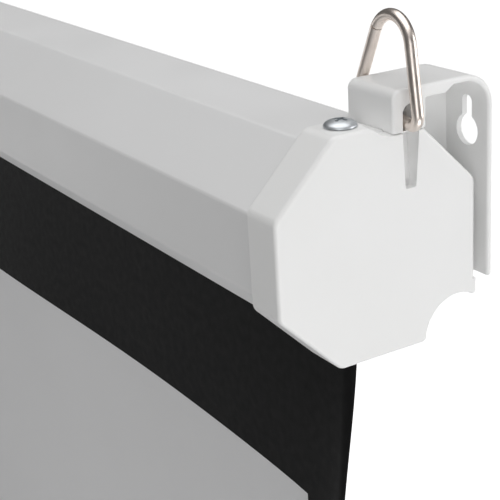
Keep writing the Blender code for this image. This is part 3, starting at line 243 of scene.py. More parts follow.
# %% Nickel, zinc and bright steel
NICKEL = drifting_finish("nickel-plated wire", (0.88, 0.80, 0.74), (0.78, 0.70, 0.64), gloss=(0.28, 0.40),
                         patch=0.006, grain=0.0009, depth=0.000008, metallic=1.0)
ZINC = drifting_finish("bright zinc plate", (0.74, 0.77, 0.79), (0.62, 0.65, 0.68), gloss=(0.40, 0.54),
                       patch=0.006, grain=0.0006, depth=0.000014, metallic=1.0)
STEEL = drifting_finish("oiled bright steel", (0.56, 0.57, 0.59), (0.40, 0.40, 0.42), gloss=(0.24, 0.42),
                        patch=0.010, grain=0.0006, depth=0.000010, metallic=1.0, stretch=(0.12, 1.0, 1.0))
print("metals", [finish.name for finish in (NICKEL, ZINC, STEEL)])

# %% [markdown]
# The spring's arbor is a turned hardwood rod. Its grain runs along it, so rings round the rod's axis are
# bent by noise that is stretched along X, and dark pores follow the same direction.

# %% Turned hardwood
PORE_SIZE = 0.0016
PORE_DEPTH = 0.00006
WOOD, wood_tree, wood_shader = new_finish("turned hardwood", (0.46, 0.29, 0.15), 0.55)
wood_place = place_of(wood_tree, (0.08, 1.0, 1.0))
pores = speckle(wood_tree, wood_place, PORE_SIZE, 5.0)
rings = result(wood_tree, "ShaderNodeTexWave",
               {"Vector": wood_place, "Scale": 220.0, "Distortion": 3.0, "Detail": 2.0},
               wave_type="RINGS", rings_direction="X")
ring_tone = blend_colours(wood_tree, rings, (0.52, 0.34, 0.19), (0.38, 0.23, 0.11))
pore_share = between(wood_tree, pores, 0.0, 0.5, 0.55, 0.75)
wood_tone = blend_colours(wood_tree, pore_share, ring_tone, (0.20, 0.11, 0.05))
wood_tree.links.new(wood_tone, wood_shader.inputs["Base Color"])
raise_skin(wood_tree, wood_shader, pores, PORE_DEPTH)
print(WOOD.name, "with pores of", PORE_SIZE * 1000, "mm")

# %% [markdown]
# The sheet is a coated fabric. Its picture face is matt white and its frame and back are printed black,
# and a fine weave shows through both when light grazes them. The weave has to follow the cloth when it is
# rolled up, so it reads the sheet's own flat layout in metres instead of its place in the room. A wave
# texture repeats every 0.314 of its own units, and its scale makes one such wave as wide as a yarn.

# %% Sheet fabric
YARN = 0.00046
WAVE_REPEAT = 0.314
CLOUD_SIZE = 0.11
RUB_SIZE = 0.004


def sheet_finish(name, light, dark, gloss, shine, depth):
    material, tree, shader = new_finish(name, light, sum(gloss) / 2)
    flat = place_of(tree, uv=True)
    yarns = {"Vector": flat, "Scale": WAVE_REPEAT / YARN, "Distortion": 0.6, "Detail": 1.0}
    threads = [node(tree, "ShaderNodeTexWave", yarns, bands_direction=way).outputs[1] for way in ("X", "Y")]
    cloud = between(tree, speckle(tree, flat, CLOUD_SIZE, 4.0), 0.0, 1.0)
    rubbed = between(tree, speckle(tree, flat, RUB_SIZE, 3.0), *gloss)
    tree.links.new(blend_colours(tree, cloud, light, dark), shader.inputs["Base Color"])
    tree.links.new(rubbed, shader.inputs["Roughness"])
    raise_skin(tree, shader, sums(tree, "MULTIPLY", *threads), depth)
    shader.inputs["Specular IOR Level"].default_value = shine
    return material


SHEET_WHITE = sheet_finish("white picture face", (0.85, 0.85, 0.855), (0.82, 0.82, 0.825),
                           gloss=(0.74, 0.86), shine=0.3, depth=0.00002)
SHEET_BLACK = sheet_finish("black printed border", (0.005, 0.005, 0.0055), (0.008, 0.008, 0.008),
                           gloss=(0.62, 0.72), shine=0.15, depth=0.00003)
SHEET_BACK = sheet_finish("black backing", (0.018, 0.018, 0.018), (0.026, 0.026, 0.026),
                          gloss=(0.74, 0.86), shine=0.15, depth=0.00003)
print("yarn pitch", YARN * 1000, "mm")

# %% [markdown]
# Folded, moulded and cut pieces all start as an outline in Y and Z that is drawn out along X, because the
# whole screen is long in X. Corners with a radius become arcs of short steps. The outline could be a curve
# object, but a list of points can also be offset by a wall, which is how the folded sheet is made.

# %% Outlines with rounded corners
ARC_STEP = math.radians(9)


def rounded(corners, closed=True, facets=None):
    """A polyline through (a, b) or (a, b, radius) corners, each radius an arc of that many facets."""
    points = []
    for index, corner in enumerate(corners):
        here = Vector(corner[:2])
        inner = closed or 0 < index < len(corners) - 1
        if len(corner) == 2 or not inner:
            points.append(tuple(here))
            continue
        radius = corner[2]
        back = (Vector(corners[index - 1][:2]) - here).normalized()
        ahead = (Vector(corners[(index + 1) % len(corners)][:2]) - here).normalized()
        half = back.angle(ahead) / 2
        centre = here + (back + ahead).normalized() * radius / math.sin(half)
        start = here + back * radius / math.tan(half) - centre
        end = here + ahead * radius / math.tan(half) - centre
        turn = start.angle_signed(end)
        first = math.atan2(start.y, start.x)
        steps = facets or max(2, math.ceil(abs(turn) / ARC_STEP))
        for angle in (first - turn * number / steps for number in range(steps + 1)):
            points.append((centre.x + radius * math.cos(angle), centre.y + radius * math.sin(angle)))
    return points


def octagon(half_width, half_height, chamfer):
    """Corners of an octagon in (y, z), counter-clockwise from the lower end of its rear side."""
    flat = half_width - chamfer
    side = half_height - chamfer
    return [(half_width, -side), (half_width, side), (flat, half_height), (-flat, half_height),
            (-half_width, side), (-half_width, -side), (-flat, -half_height), (flat, -half_height)]


def arc(radius, first, last, steps, centre=(0.0, 0.0)):
    """Points on an arc in (y, z) between two angles."""
    angles = [first + (last - first) * number / steps for number in range(steps + 1)]
    return [(centre[0] + radius * math.cos(a), centre[1] + radius * math.sin(a)) for a in angles]


def about(axis, points):
    """Points given round an axis, carried to where that axis is."""
    return [(y + axis.y, z + axis.z) for y, z in points]


def with_wall(path, wall):
    """A closed outline: the open path and, inside it, the same path a wall's thickness away."""
    inner = []
    for index, point in enumerate(path):
        before = Vector(point) - Vector(path[index - 1]) if index else Vector(path[1]) - Vector(path[0])
        after = Vector(path[index + 1]) - Vector(point) if index + 1 < len(path) else before
        along = (before.normalized() + after.normalized()).normalized()
        square = max(0.5, along.dot(after.normalized()))
        inner.append((point[0] - along.y * wall / square, point[1] + along.x * wall / square))
    return list(path) + inner[::-1]


# %% [markdown]
# These helpers make solids and change them the way a workshop would: draw out a plate, turn a rod, cut,
# join, round the edges. A cut or a join is solved at once and its tool thrown away, so that only finished
# pieces are left in the scene, each with its place in its own points. Points closer than SAME are one point.

# %% Helpers that make and change solids
SAME = 1e-7


def to_object(name, bm, *finishes):
    bmesh.ops.recalc_face_normals(bm, faces=bm.faces)
    mesh = bpy.data.meshes.new(name)
    bm.to_mesh(mesh)
    bm.free()
    piece = bpy.data.objects.new(name, mesh)
    scene.collection.objects.link(piece)
    for finish in finishes:
        mesh.materials.append(finish)
    return piece


def flatten(piece):
    """Turns a piece and its modifiers into a plain mesh, with its place in its points."""
    bpy.context.view_layer.update()
    graph = bpy.context.evaluated_depsgraph_get()
    mesh = bpy.data.meshes.new_from_object(piece.evaluated_get(graph))
    mesh.transform(piece.matrix_world)
    piece.modifiers.clear()
    piece.data = mesh
    piece.matrix_world = Matrix.Identity(4)
    return piece


def skinned(name, outlines, *finishes):
    """A closed solid through outlines with equal point counts, each given as (x, points)."""
    bm = bmesh.new()
    rings = [[bm.verts.new((x, y, z)) for y, z in points] for x, points in outlines]
    bm.faces.new(rings[0])
    bm.faces.new(rings[-1][::-1])
    for ring, following in zip(rings, rings[1:]):
        for index in range(len(ring)):
            bm.faces.new((ring[index], ring[index - 1], following[index - 1], following[index]))
    return to_object(name, bm, *finishes)


def plate(name, outline, start, end, *finishes):
    """An outline in (y, z) drawn out from x = start to x = end."""
    return skinned(name, [(start, outline), (end, outline)], *finishes)


def block(name, low, high):
    """A square-edged block between two corners."""
    outline = [(low[1], low[2]), (high[1], low[2]), (high[1], high[2]), (low[1], high[2])]
    return plate(name, outline, low[0], high[0])


def turned(name, profile, start, way, *finishes, segments=64):
    """A solid turned about the line from start along way, from (radius, distance along the line) points."""
    bm = bmesh.new()
    points = [bm.verts.new((radius, 0.0, height)) for radius, height in profile]
    edges = [bm.edges.new(pair) for pair in zip(points, points[1:])]
    bmesh.ops.spin(bm, geom=points + edges, axis=(0, 0, 1), cent=(0, 0, 0), steps=segments,
                   angle=2 * math.pi, use_merge=True)
    bmesh.ops.remove_doubles(bm, verts=bm.verts, dist=SAME)
    turn = Vector((0, 0, 1)).rotation_difference(Vector(way)).to_matrix().to_4x4()
    bmesh.ops.transform(bm, matrix=Matrix.Translation(start) @ turn, verts=bm.verts)
    return to_object(name, bm, *finishes)


def rod(name, start, end, radius, *finishes, segments=64, edge=0.0):
    """A round bar between two points, with a small radius on its ends if edge is given."""
    length = (Vector(end) - Vector(start)).length
    side = [(radius, edge), (radius, length - edge)]
    if edge:
        side = [(radius - edge, 0.0), *side, (radius - edge, length)]
    profile = [(0.0, 0.0), *side, (0.0, length)]
    return turned(name, profile, start, Vector(end) - Vector(start), *finishes, segments=segments)


def combine(piece, operation, *tools):
    for tool in tools:
        modifier = piece.modifiers.new(tool.name, "BOOLEAN")
        modifier.operation = operation
        modifier.solver = "EXACT"
        modifier.object = tool
    flatten(piece)
    for tool in tools:
        bpy.data.objects.remove(tool, do_unlink=True)
    return piece


def cut(piece, *tools):
    return combine(piece, "DIFFERENCE", *tools)


def join(piece, *tools):
    return combine(piece, "UNION", *tools)


def round_edges(piece, width, segments, sharper_than):
    bevel = piece.modifiers.new("rounded edges", "BEVEL")
    bevel.width = width
    bevel.segments = segments
    bevel.limit_method = "ANGLE"
    bevel.angle_limit = math.radians(sharper_than)
    return flatten(piece)


def smooth(piece, angle=30.0):
    """Smooth shading that keeps flats flat and leaves true edges sharp."""
    piece.data.shade_smooth()
    piece.data.set_sharp_from_angle(angle=math.radians(angle))
    weigh = piece.modifiers.new("flats stay flat", "WEIGHTED_NORMAL")
    weigh.keep_sharp = True
    weigh.weight = 90
    return flatten(piece)


def fit(piece, body, slot, *nodes):
    """Puts a finished piece on its body, in place of the plain solids that it stands for."""
    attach(piece, body)
    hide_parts(*nodes)
    print(f"{piece.name}: {len(piece.data.polygons)} faces, rides on {body}, stands for {', '.join(nodes)}")
    return piece


# %% [markdown]
# The case is one strip of steel, 0.8 mm thick, folded into an octagon that stays open below for the sheet.
# Each bend has a 2 mm radius and both lips are rolled inwards, so the cloth never meets a cut edge. It could
# be drawn as a box with bevelled edges, but following the fold line with a constant wall gives true bends.

# %% Case folded from one strip
CASE_WIDTH = 0.0672
CASE_HEIGHT = 0.0648
CASE_CHAMFER = 0.0193
CASE_WALL = 0.0008
CASE_BEND = 0.0020
HEM_RADIUS = 0.0012
HEM_RETURN = 0.0020
SLOT_BEHIND = 0.0027
SLOT_BEFORE = 0.0053
CAP_PLATE = 0.0020
CLOTH = 0.0004
SHEET_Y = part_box("sheet_wrap")[1].y - CLOTH / 2
SLOT_REAR = SHEET_Y - CASE_AXIS.y + SLOT_BEHIND
SLOT_FRONT = SHEET_Y - CASE_AXIS.y - SLOT_BEFORE


def fold_line():
    """Section of the case, from the slot's rear lip round to its front lip."""
    low = -CASE_HEIGHT / 2
    hem_top = low + 2 * HEM_RADIUS
    bends = [(y, z, CASE_BEND) for y, z in octagon(CASE_WIDTH / 2, CASE_HEIGHT / 2, CASE_CHAMFER)]
    rear = [(SLOT_REAR + HEM_RADIUS + HEM_RETURN, hem_top), (SLOT_REAR, hem_top, HEM_RADIUS),
            (SLOT_REAR, low, HEM_RADIUS)]
    front = [(SLOT_FRONT, low, HEM_RADIUS), (SLOT_FRONT, hem_top, HEM_RADIUS),
             (SLOT_FRONT - HEM_RADIUS - HEM_RETURN, hem_top)]
    return rounded(rear + bends[7:] + bends[:7] + front, closed=False)


case_half = HALF_LENGTH - CAP_PLATE - GAP
case = plate("case", with_wall(about(CASE_AXIS, fold_line()), CASE_WALL), -case_half, case_half, WHITE_PAINT)

# %% [markdown]
# The strip is pierced before it is folded: a hole for each cap's screw, and a notch in each end of the top
# where the cap's seat and the bracket's prong go through. Both are under the caps, and both are real.

# %% Holes and notches in the case's ends
SCREW_INSET = 0.0082
SCREW_FORWARD = 0.0065
SCREW_HOLE = 0.0022
NOTCH_INNER = 0.0141
NOTCH_FRONT = 0.0005
NOTCH_REAR = 0.0183
SEAT_Z = 0.0337
for side in (-1, 1):
    hole_x = side * (HALF_LENGTH - SCREW_INSET)
    hole_y = CASE_AXIS.y - SCREW_FORWARD
    hole = rod(f"screw hole {side}", (hole_x, hole_y, CASE_AXIS.z + CASE_HEIGHT / 4),
               (hole_x, hole_y, CASE_AXIS.z + CASE_HEIGHT), SCREW_HOLE, segments=32)
    ends = sorted((side * (HALF_LENGTH - NOTCH_INNER), side * HALF_LENGTH))
    notch = block(f"hanger notch {side}", (ends[0], CASE_AXIS.y + NOTCH_FRONT, CASE_AXIS.z + SEAT_Z / 2),
                  (ends[1], CASE_AXIS.y + NOTCH_REAR, CASE_AXIS.z + CASE_HEIGHT))
    cut(case, hole, notch)
fit(smooth(case), "case", "white_paint", "casing_shell")

# %% [markdown]
# The end cap is one moulding: a soft octagon whose skirt reaches over the case, with a sunk seat for the
# hook block in its top, a round bite out of its lower rear corner and a small ear above the bite. Its rim is
# rounded all the way along, also inside the bite. A bevel would do that on a plain octagon, but here it would
# stop at the bite's short faces. So the same outline is drawn again and again, a little smaller each time.

# %% Outline of the end cap
CAP_DEPTH = 0.0155
CAP_HALF_WIDTH = 0.0360
CAP_HALF_HEIGHT = 0.0366
CAP_OVER_SLANT = 0.0030
CAP_UNDER = 0.0002
CAP_REAR = 0.0382
CAP_CORNER = 0.0040
EAR_REACH = 0.0386
EAR_TOP = -0.0200
EAR_ROUND = 0.0004
EAR_TIP = 0.0012
BITE_PLACE = (0.0309, -0.0364)
BITE_RADIUS = 0.0126
BITE_STEPS = 40
BITE_TRIM = 4
BITE_TIP = 0.0020
BLOCK_Y = WALL - 0.0386
EYE_Y = WALL - 0.0319
SEAT_FRONT = BLOCK_Y - 0.0040
SEAT_LEVEL_END = BLOCK_Y - 0.0002
SEAT_REAR_ROUND = 0.0010
SEAT_FRONT_ROUND = 0.0020
SEAT_SLOPE = 0.0011
SEAT_RAMP = 1.5
CASE_SLANT = CASE_WIDTH / 2 + CASE_HEIGHT / 2 - CASE_CHAMFER
CAP_SLANT = CASE_SLANT + math.sqrt(2) * (GAP + CAP_OVER_SLANT)


def bite_edge(half_width, half_height, radius):
    """The bite's edge, from the cap's underside up to its rear side."""
    across = -math.sqrt(radius ** 2 - (half_height + BITE_PLACE[1]) ** 2)
    up = math.sqrt(radius ** 2 - (half_width - BITE_PLACE[0]) ** 2)
    first = math.atan2(-half_height - BITE_PLACE[1], across) % (2 * math.pi)
    return arc(radius, first, math.atan2(up, half_width - BITE_PLACE[0]), BITE_STEPS, BITE_PLACE)


def cap_outline(inset, seat_z, chamfer=0.0):
    """The cap's outline in (y, z), drawn in by inset, its seat at seat_z and its rear side cut by chamfer."""
    half_width = CAP_HALF_WIDTH - inset
    half_height = CAP_HALF_HEIGHT - inset
    slant = CAP_SLANT - math.sqrt(2) * inset
    corner = CAP_CORNER - inset
    front = octagon(half_width, half_height, half_width + half_height - slant)[3:6]
    under = half_height + CAP_UNDER
    ear = EAR_REACH - inset / 2
    rear = CAP_REAR - max(inset / 2, chamfer)
    ledge = min(EAR_ROUND, 0.4 * (ear - rear))
    bite = bite_edge(ear, under, BITE_RADIUS + inset / 2)
    floor_z = seat_z - inset / 4
    ramp_z = floor_z + SEAT_SLOPE
    ramp_top = SEAT_FRONT - SEAT_RAMP * (half_height - ramp_z)
    corners = [(*bite[0], BITE_TIP - inset), *bite[BITE_TRIM:-BITE_TRIM], (*bite[-1], EAR_TIP - inset / 3),
               (ear, EAR_TOP, ledge), (rear, EAR_TOP, ledge), (rear, slant - rear, corner),
               (slant - floor_z, floor_z), (SEAT_LEVEL_END, floor_z, SEAT_REAR_ROUND),
               (SEAT_FRONT, ramp_z, SEAT_FRONT_ROUND), (ramp_top, half_height, SEAT_FRONT_ROUND),
               *[(y, z, corner) for y, z in front], (under - slant, -under, corner)]
    return rounded(corners, facets=8)


print("cap outline", len(cap_outline(0.0, SEAT_Z)), "points")

# %% [markdown]
# The outlines become the cap's skin: first the rim of its inner end, then its side with a small step in the
# seat, then the rim round its face, whose rear edge is cut off at a slant so that the cap clears the wall.

# %% Skin of the end cap
CAP_ROUND = 0.0012
RIM_STEPS = 6
REAR_CHAMFER = 0.0017
SEAT_STEP = 0.0008
SEAT_STEP_WIDTH = 0.0052


def cap_outside():
    """The cap without its cavity: round its inner rim, along its side and round its outer rim."""
    turns = [math.pi / 2 * number / RIM_STEPS for number in range(RIM_STEPS + 1)]
    rim = [(CAP_ROUND * (1 - math.cos(turn)), CAP_ROUND * (1 - math.sin(turn))) for turn in turns]
    low = SEAT_Z - SEAT_STEP
    outlines = [(depth - CAP_DEPTH, cap_outline(inset, SEAT_Z)) for depth, inset in rim]
    outlines.append((-SEAT_STEP_WIDTH - SEAT_STEP / 3, cap_outline(0.0, SEAT_Z)))
    outlines.append((-SEAT_STEP_WIDTH + SEAT_STEP / 3, cap_outline(0.0, low)))
    for depth, inset in rim[::-1]:
        outlines.append((-depth, cap_outline(inset, low, REAR_CHAMFER * (1 - depth / CAP_ROUND))))
    return skinned("cap", outlines, WHITE_PLASTIC)


print("bite at", BITE_PLACE, "radius", BITE_RADIUS)

# %% [markdown]
# Inside, the cap has the case's own octagon as its cavity, a boss that holds the roller's spear or bush,
# two tabs that grip the case and a thick wall behind the groove. They can hardly be seen, but they are what
# shows when the cap comes off, and the light that leaks through the slot falls on them.

# %% End cap, inside
GROOVE_TOP_WIDTH = 0.0062
GROOVE_LOW_WIDTH = 0.0040
GROOVE_LENGTH = 0.0174
GROOVE_TOP_DEPTH = 0.0064
GROOVE_LOW_DEPTH = 0.0032
MOULD_WALL = 0.0012
BOSS_DEPTH = 0.0070
BOSS_RADIUS = 0.0080
TAB_REACH = 0.0060
TAB_WALL = 0.0016
TAB_HALF_HEIGHT = 0.0090
PRONG_X = (-0.0129, -0.0089)
PRONG_Y = BLOCK_Y + 0.0006
PRONG_WALL = 0.0024
CAVITY_TOP = CASE_HEIGHT / 2 + GAP
ROLLER_PLACE = (ROLLER_AXIS.y - CASE_AXIS.y, ROLLER_AXIS.z - CASE_AXIS.z)


def groove_tool():
    """The tapered groove below the ring, deep at its top and shallow at its lower end."""
    top = SEAT_Z - SEAT_STEP
    low = top - GROOVE_LENGTH
    middle_y = EYE_Y - (GROOVE_TOP_WIDTH - GROOVE_LOW_WIDTH) / 8
    corner = GROOVE_LOW_WIDTH / 5
    outline = rounded([(EYE_Y - GROOVE_TOP_WIDTH / 2, top), (middle_y - GROOVE_LOW_WIDTH / 2, low, corner),
                       (middle_y + GROOVE_LOW_WIDTH / 2, low, corner), (EYE_Y + GROOVE_TOP_WIDTH / 2, top)])
    groove = plate("groove", outline, -GROOVE_TOP_DEPTH, CAP_PLATE)
    slope = (GROOVE_TOP_DEPTH - GROOVE_LOW_DEPTH) / GROOVE_LENGTH
    for point in groove.data.vertices:
        if point.co.x < 0:
            point.co.x += slope * (top - point.co.z)
    return groove


def cap_with_inside(cap, bearing):
    """Hollows out a cap, gives it its boss, walls and tabs, and cuts its holes, bearing among them."""
    cavity = octagon(CASE_WIDTH / 2 + GAP, CAVITY_TOP, CASE_CHAMFER + (2 - math.sqrt(2)) * GAP)
    cut(cap, plate("cavity", cavity, -2 * CAP_DEPTH, -CAP_PLATE))
    overlap = CAP_PLATE / 2
    half_groove = GROOVE_TOP_WIDTH / 2 + MOULD_WALL
    low = SEAT_Z - SEAT_STEP - MOULD_WALL
    corner = (-overlap, EYE_Y + half_groove, CAVITY_TOP + (SEAT_Z - CAVITY_TOP) / 2)
    added = [rod("boss", (-CAP_PLATE - BOSS_DEPTH, *ROLLER_PLACE), (-overlap, *ROLLER_PLACE), BOSS_RADIUS),
             block("groove wall", (-GROOVE_TOP_DEPTH - MOULD_WALL, EYE_Y - half_groove, low - GROOVE_LENGTH),
                   corner),
             block("seat wall", (-SEAT_STEP_WIDTH - MOULD_WALL, SEAT_FRONT, low), corner)]
    inside = CASE_WIDTH / 2 - CASE_WALL - GAP
    for side in (-1, 1):
        near, far = sorted((side * inside, side * (inside - TAB_WALL)))
        added.append(block(f"tab {side}", (-CAP_PLATE - TAB_REACH, near, -TAB_HALF_HEIGHT),
                           (-overlap, far, TAB_HALF_HEIGHT)))
    join(cap, *added)
    hole = rod("screw hole", (-SCREW_INSET, -SCREW_FORWARD, CASE_HEIGHT / 4),
               (-SCREW_INSET, -SCREW_FORWARD, CAP_HALF_HEIGHT + CAP_DEPTH), SCREW_HOLE, segments=32)
    prong = block("prong hole", (PRONG_X[0] - GAP, PRONG_Y - GAP, CASE_HEIGHT / 4),
                  (PRONG_X[1] + GAP, PRONG_Y + PRONG_WALL + GAP, CAP_HALF_HEIGHT))
    return cut(cap, groove_tool(), hole, prong, bearing)


print("roller's axis in the cap", [round(value, 4) for value in ROLLER_PLACE])

# %% [markdown]
# The right cap's boss has a flat slot for the spring's spear, and the left one is a mirror image with a
# round bore for the plain bush. Each is made round its own end's axis and then carried to its end. Mirroring
# turns every face inside out, so the left one has its faces recalculated before it is shaded.

# %% Put a cap on each end
SPEAR_HALF_SLOT = (0.0016, 0.0033)
BUSH_BORE = 0.0053
RIGHT_END = Matrix.Translation((HALF_LENGTH, CASE_AXIS.y, CASE_AXIS.z))
LEFT_END = Matrix.Scale(-1, 4, (1, 0, 0)) @ RIGHT_END
ENDS = (("right", RIGHT_END), ("left", LEFT_END))


def at_end(piece, name, matrix):
    """A copy of a piece that was made round its end's axis, carried to the right or left end."""
    bm = bmesh.new()
    bm.from_mesh(piece.data)
    bmesh.ops.transform(bm, matrix=matrix, verts=bm.verts)
    bmesh.ops.remove_doubles(bm, verts=bm.verts, dist=SAME)
    return to_object(name, bm, *piece.data.materials)


deep = -CAP_PLATE - 2 * BOSS_DEPTH
slot_low = [place - half for place, half in zip(ROLLER_PLACE, SPEAR_HALF_SLOT)]
slot_high = [place + half for place, half in zip(ROLLER_PLACE, SPEAR_HALF_SLOT)]
spear_slot = block("spear slot", (deep, *slot_low), (-CAP_PLATE, *slot_high))
bush_bore = rod("bush bore", (deep, *ROLLER_PLACE), (-CAP_PLATE, *ROLLER_PLACE), BUSH_BORE)
for (side, matrix), bearing in zip(ENDS, (spear_slot, bush_bore)):
    pattern = cap_with_inside(cap_outside(), bearing)
    cap = smooth(at_end(pattern, f"cap_{side}", matrix), 32)
    bpy.data.objects.remove(pattern, do_unlink=True)
    fit(cap, "case", "white_plastic", f"end_cap_{side}")

# %% [markdown]
# The bracket is moulded in one piece: an upright plate with a keyhole, an arm that bends over from it and
# thins halfway, a side web behind the case, and at the arm's end a hook block with an arched eye for the
# ring. Its side view gives nearly all of it, so that outline is drawn out over the bracket's width. The web,
# the prong and a foot that rests on the case are added to it, and the eye and the keyhole are cut from it.

# %% Side view, web and prong of the bracket
BRACKET_WIDTH = 0.0228
BRACKET_PLATE = 0.0020
BRACKET_TOP = HANG_Z + 0.0112
BRACKET_FOOT = HANG_Z - 0.0560
BRACKET_CORNER = 0.0106
BLOCK_LENGTH = 0.0126
BLOCK_NOSE = 0.0030
ARM_THIN = 0.0020
ARM_THICK = 0.0040
ARM_STEP = WALL - 0.0162
SEAT_GAP = 0.00006
WEB_GAP = 0.0016
WEB_INNER = 0.0028
PRONG_LENGTH = 0.0095
BARB = 0.0012


def bracket_outline():
    face = WALL - BRACKET_PLATE
    rear = BLOCK_Y + BLOCK_LENGTH
    low = SEAT_Z - SEAT_STEP + SEAT_GAP
    thin = BRACKET_TOP - ARM_THIN
    thick = BRACKET_TOP - ARM_THICK
    return rounded([(BLOCK_Y, low), (rear, low), (rear, thick), (ARM_STEP - ARM_THIN, thick),
                    (ARM_STEP + ARM_THIN / 2, thin), (face, thin, BRACKET_CORNER - BRACKET_PLATE),
                    (face, BRACKET_FOOT), (WALL, BRACKET_FOOT), (WALL, BRACKET_TOP, BRACKET_CORNER),
                    (BLOCK_Y, BRACKET_TOP, BLOCK_NOSE)])


def web_and_prong():
    half_plate = BRACKET_PLATE / 2
    slant = CASE_SLANT + math.sqrt(2) * WEB_GAP
    behind = CASE_WIDTH / 2 + WEB_GAP
    front = BLOCK_Y + BLOCK_LENGTH - half_plate
    rear = WALL - half_plate
    top = BRACKET_TOP - half_plate
    web = [(front, slant - front), (behind, slant - behind), (behind, BRACKET_FOOT + 6 * half_plate),
           (rear, BRACKET_FOOT + half_plate), (rear, BRACKET_TOP - BRACKET_CORNER),
           (WALL - BRACKET_CORNER, top), (front, top)]
    root = SEAT_Z + BRACKET_PLATE
    barb = CAVITY_TOP - GAP
    tip = barb - PRONG_LENGTH
    prong = [(PRONG_Y, root), (PRONG_Y, barb), (PRONG_Y - BARB, barb), (PRONG_Y - BARB, barb - BARB / 2),
             (PRONG_Y + BARB / 2, tip), (PRONG_Y + PRONG_WALL, tip), (PRONG_Y + PRONG_WALL, root)]
    return (plate("web", web, half_plate / 4 - BRACKET_WIDTH, WEB_INNER - BRACKET_WIDTH),
            plate("prong", prong, *PRONG_X))


print("bracket", BRACKET_WIDTH, "wide and", round(BRACKET_TOP - BRACKET_FOOT, 4), "high")

# %% [markdown]
# The keyhole's slot is drawn upright and then turned to face the wall. The eye and the keyhole are cut last,
# after the bracket's edges have been rounded, so their own edges stay as crisp as the picture shows them.

# %% Bracket and its openings
EYE_HALF_WIDTH = 0.0030
EYE_TOP = HANG_Z + 0.0066
KEYHOLE_X = -0.0100
KEYHOLE_RADIUS = 0.0050
KEYHOLE_DROP = 0.0092
KEYHOLE_HALF_SLOT = 0.00225
FOOT_INSET = 0.0004
FOOT_GAP = 0.00015
FOOT_OVERLAP = 0.0010
CLEAR = 0.03


def eye_and_keyhole():
    near, far = EYE_Y - EYE_HALF_WIDTH, EYE_Y + EYE_HALF_WIDTH
    low = SEAT_Z - EYE_HALF_WIDTH
    eye = rounded([(near, low), (far, low), (far, EYE_TOP, EYE_HALF_WIDTH), (near, EYE_TOP, EYE_HALF_WIDTH)])
    half = KEYHOLE_HALF_SLOT
    slot = rounded([(-half, -KEYHOLE_DROP), (half, -KEYHOLE_DROP), (half, half, half), (-half, half, half)])
    slot_tool = plate("keyhole slot", slot, -BRACKET_PLATE, 2 * BRACKET_PLATE)
    slot_tool.data.transform(Matrix(((0, 1, 0, KEYHOLE_X), (-1, 0, 0, WALL), (0, 0, 1, HANG_Z),
                                     (0, 0, 0, 1))))
    hole = rod("keyhole", (KEYHOLE_X, WALL - 2 * BRACKET_PLATE, HANG_Z - KEYHOLE_DROP),
               (KEYHOLE_X, WALL + BRACKET_PLATE, HANG_Z - KEYHOLE_DROP), KEYHOLE_RADIUS)
    return plate("eye", eye, -2 * BRACKET_WIDTH, BRACKET_WIDTH), slot_tool, hole


bracket = plate("bracket", bracket_outline(), -BRACKET_WIDTH, 0.0, WHITE_PLASTIC)
round_edges(bracket, width=0.00097, segments=4, sharper_than=50)
cut(bracket, block("rebate", (-2 * BRACKET_WIDTH, BLOCK_Y - CLEAR, SEAT_Z - 2 * SEAT_STEP),
                   (GAP - SEAT_STEP_WIDTH, EYE_Y + BLOCK_LENGTH, SEAT_Z + SEAT_GAP)))
foot = block("foot", (FOOT_INSET - BRACKET_WIDTH, BLOCK_Y + FOOT_INSET, CASE_HEIGHT / 2 + FOOT_GAP),
             (-CAP_DEPTH - GAP, BLOCK_Y + BLOCK_LENGTH - FOOT_INSET, SEAT_Z + FOOT_OVERLAP))
join(bracket, foot, *web_and_prong())
cut(bracket, *eye_and_keyhole())
for side, matrix in ENDS:
    piece = smooth(at_end(bracket, f"bracket_{side}", matrix), 32)
    fit(piece, "case", "white_plastic", f"wall_bracket_{side}")
bpy.data.objects.remove(bracket, do_unlink=True)

# %% [markdown]
# The ring and the pull handle are both bent from round stock, so one geometry tree makes them: it takes a
# line with a radius at each corner, rounds the corners, and sweeps a circle along it. Bending a modelled
# cylinder would squash its section at each corner. A swept circle stays round, as drawn wire does.

# %% Helpers for geometry trees
def new_tree(name, inputs):
    """A geometry tree with a geometry input, named inputs and one geometry output."""
    tree = bpy.data.node_groups.new(name, "GeometryNodeTree")
    tree.interface.new_socket("Geometry", in_out="INPUT", socket_type="NodeSocketGeometry")
    tree.interface.new_socket("Geometry", in_out="OUTPUT", socket_type="NodeSocketGeometry")
    for label, kind, value in inputs:
        socket = tree.interface.new_socket(label, in_out="INPUT", socket_type=f"NodeSocket{kind}")
        if value is not None:
            socket.default_value = value
    return tree, tree.nodes.new("NodeGroupInput").outputs, tree.nodes.new("NodeGroupOutput").inputs[0]


def finish_tree(tree, geometry, given, out, *parts):
    """Every tree ends by turning copies into real faces and giving them their finish, then their parts."""
    geometry = result(tree, "GeometryNodeRealizeInstances", {0: geometry})
    for label, chosen in (("Material", {}), *parts):
        geometry = result(tree, "GeometryNodeSetMaterial",
                          {"Geometry": geometry, "Material": given[label], **chosen})
    tree.links.new(geometry, out)
    print(f"{tree.name}: a tree of {len(tree.nodes)} nodes")


def grown(name, mesh, tree, **values):
    """Runs a geometry tree on a mesh and keeps the result as a plain mesh, without an empty first slot."""
    piece = bpy.data.objects.new(name, mesh)
    scene.collection.objects.link(piece)
    modifier = piece.modifiers.new(tree.name, "NODES")
    modifier.node_group = tree
    for item in tree.interface.items_tree:
        label = item.name.replace(" ", "_")
        if item.in_out == "INPUT" and label in values:
            modifier[item.identifier] = values[label]
    flatten(piece)
    if piece.data.materials[0] is None:
        used = [face.material_index - 1 for face in piece.data.polygons]
        piece.data.materials.pop(index=0)
        piece.data.polygons.foreach_set("material_index", used)
    return piece


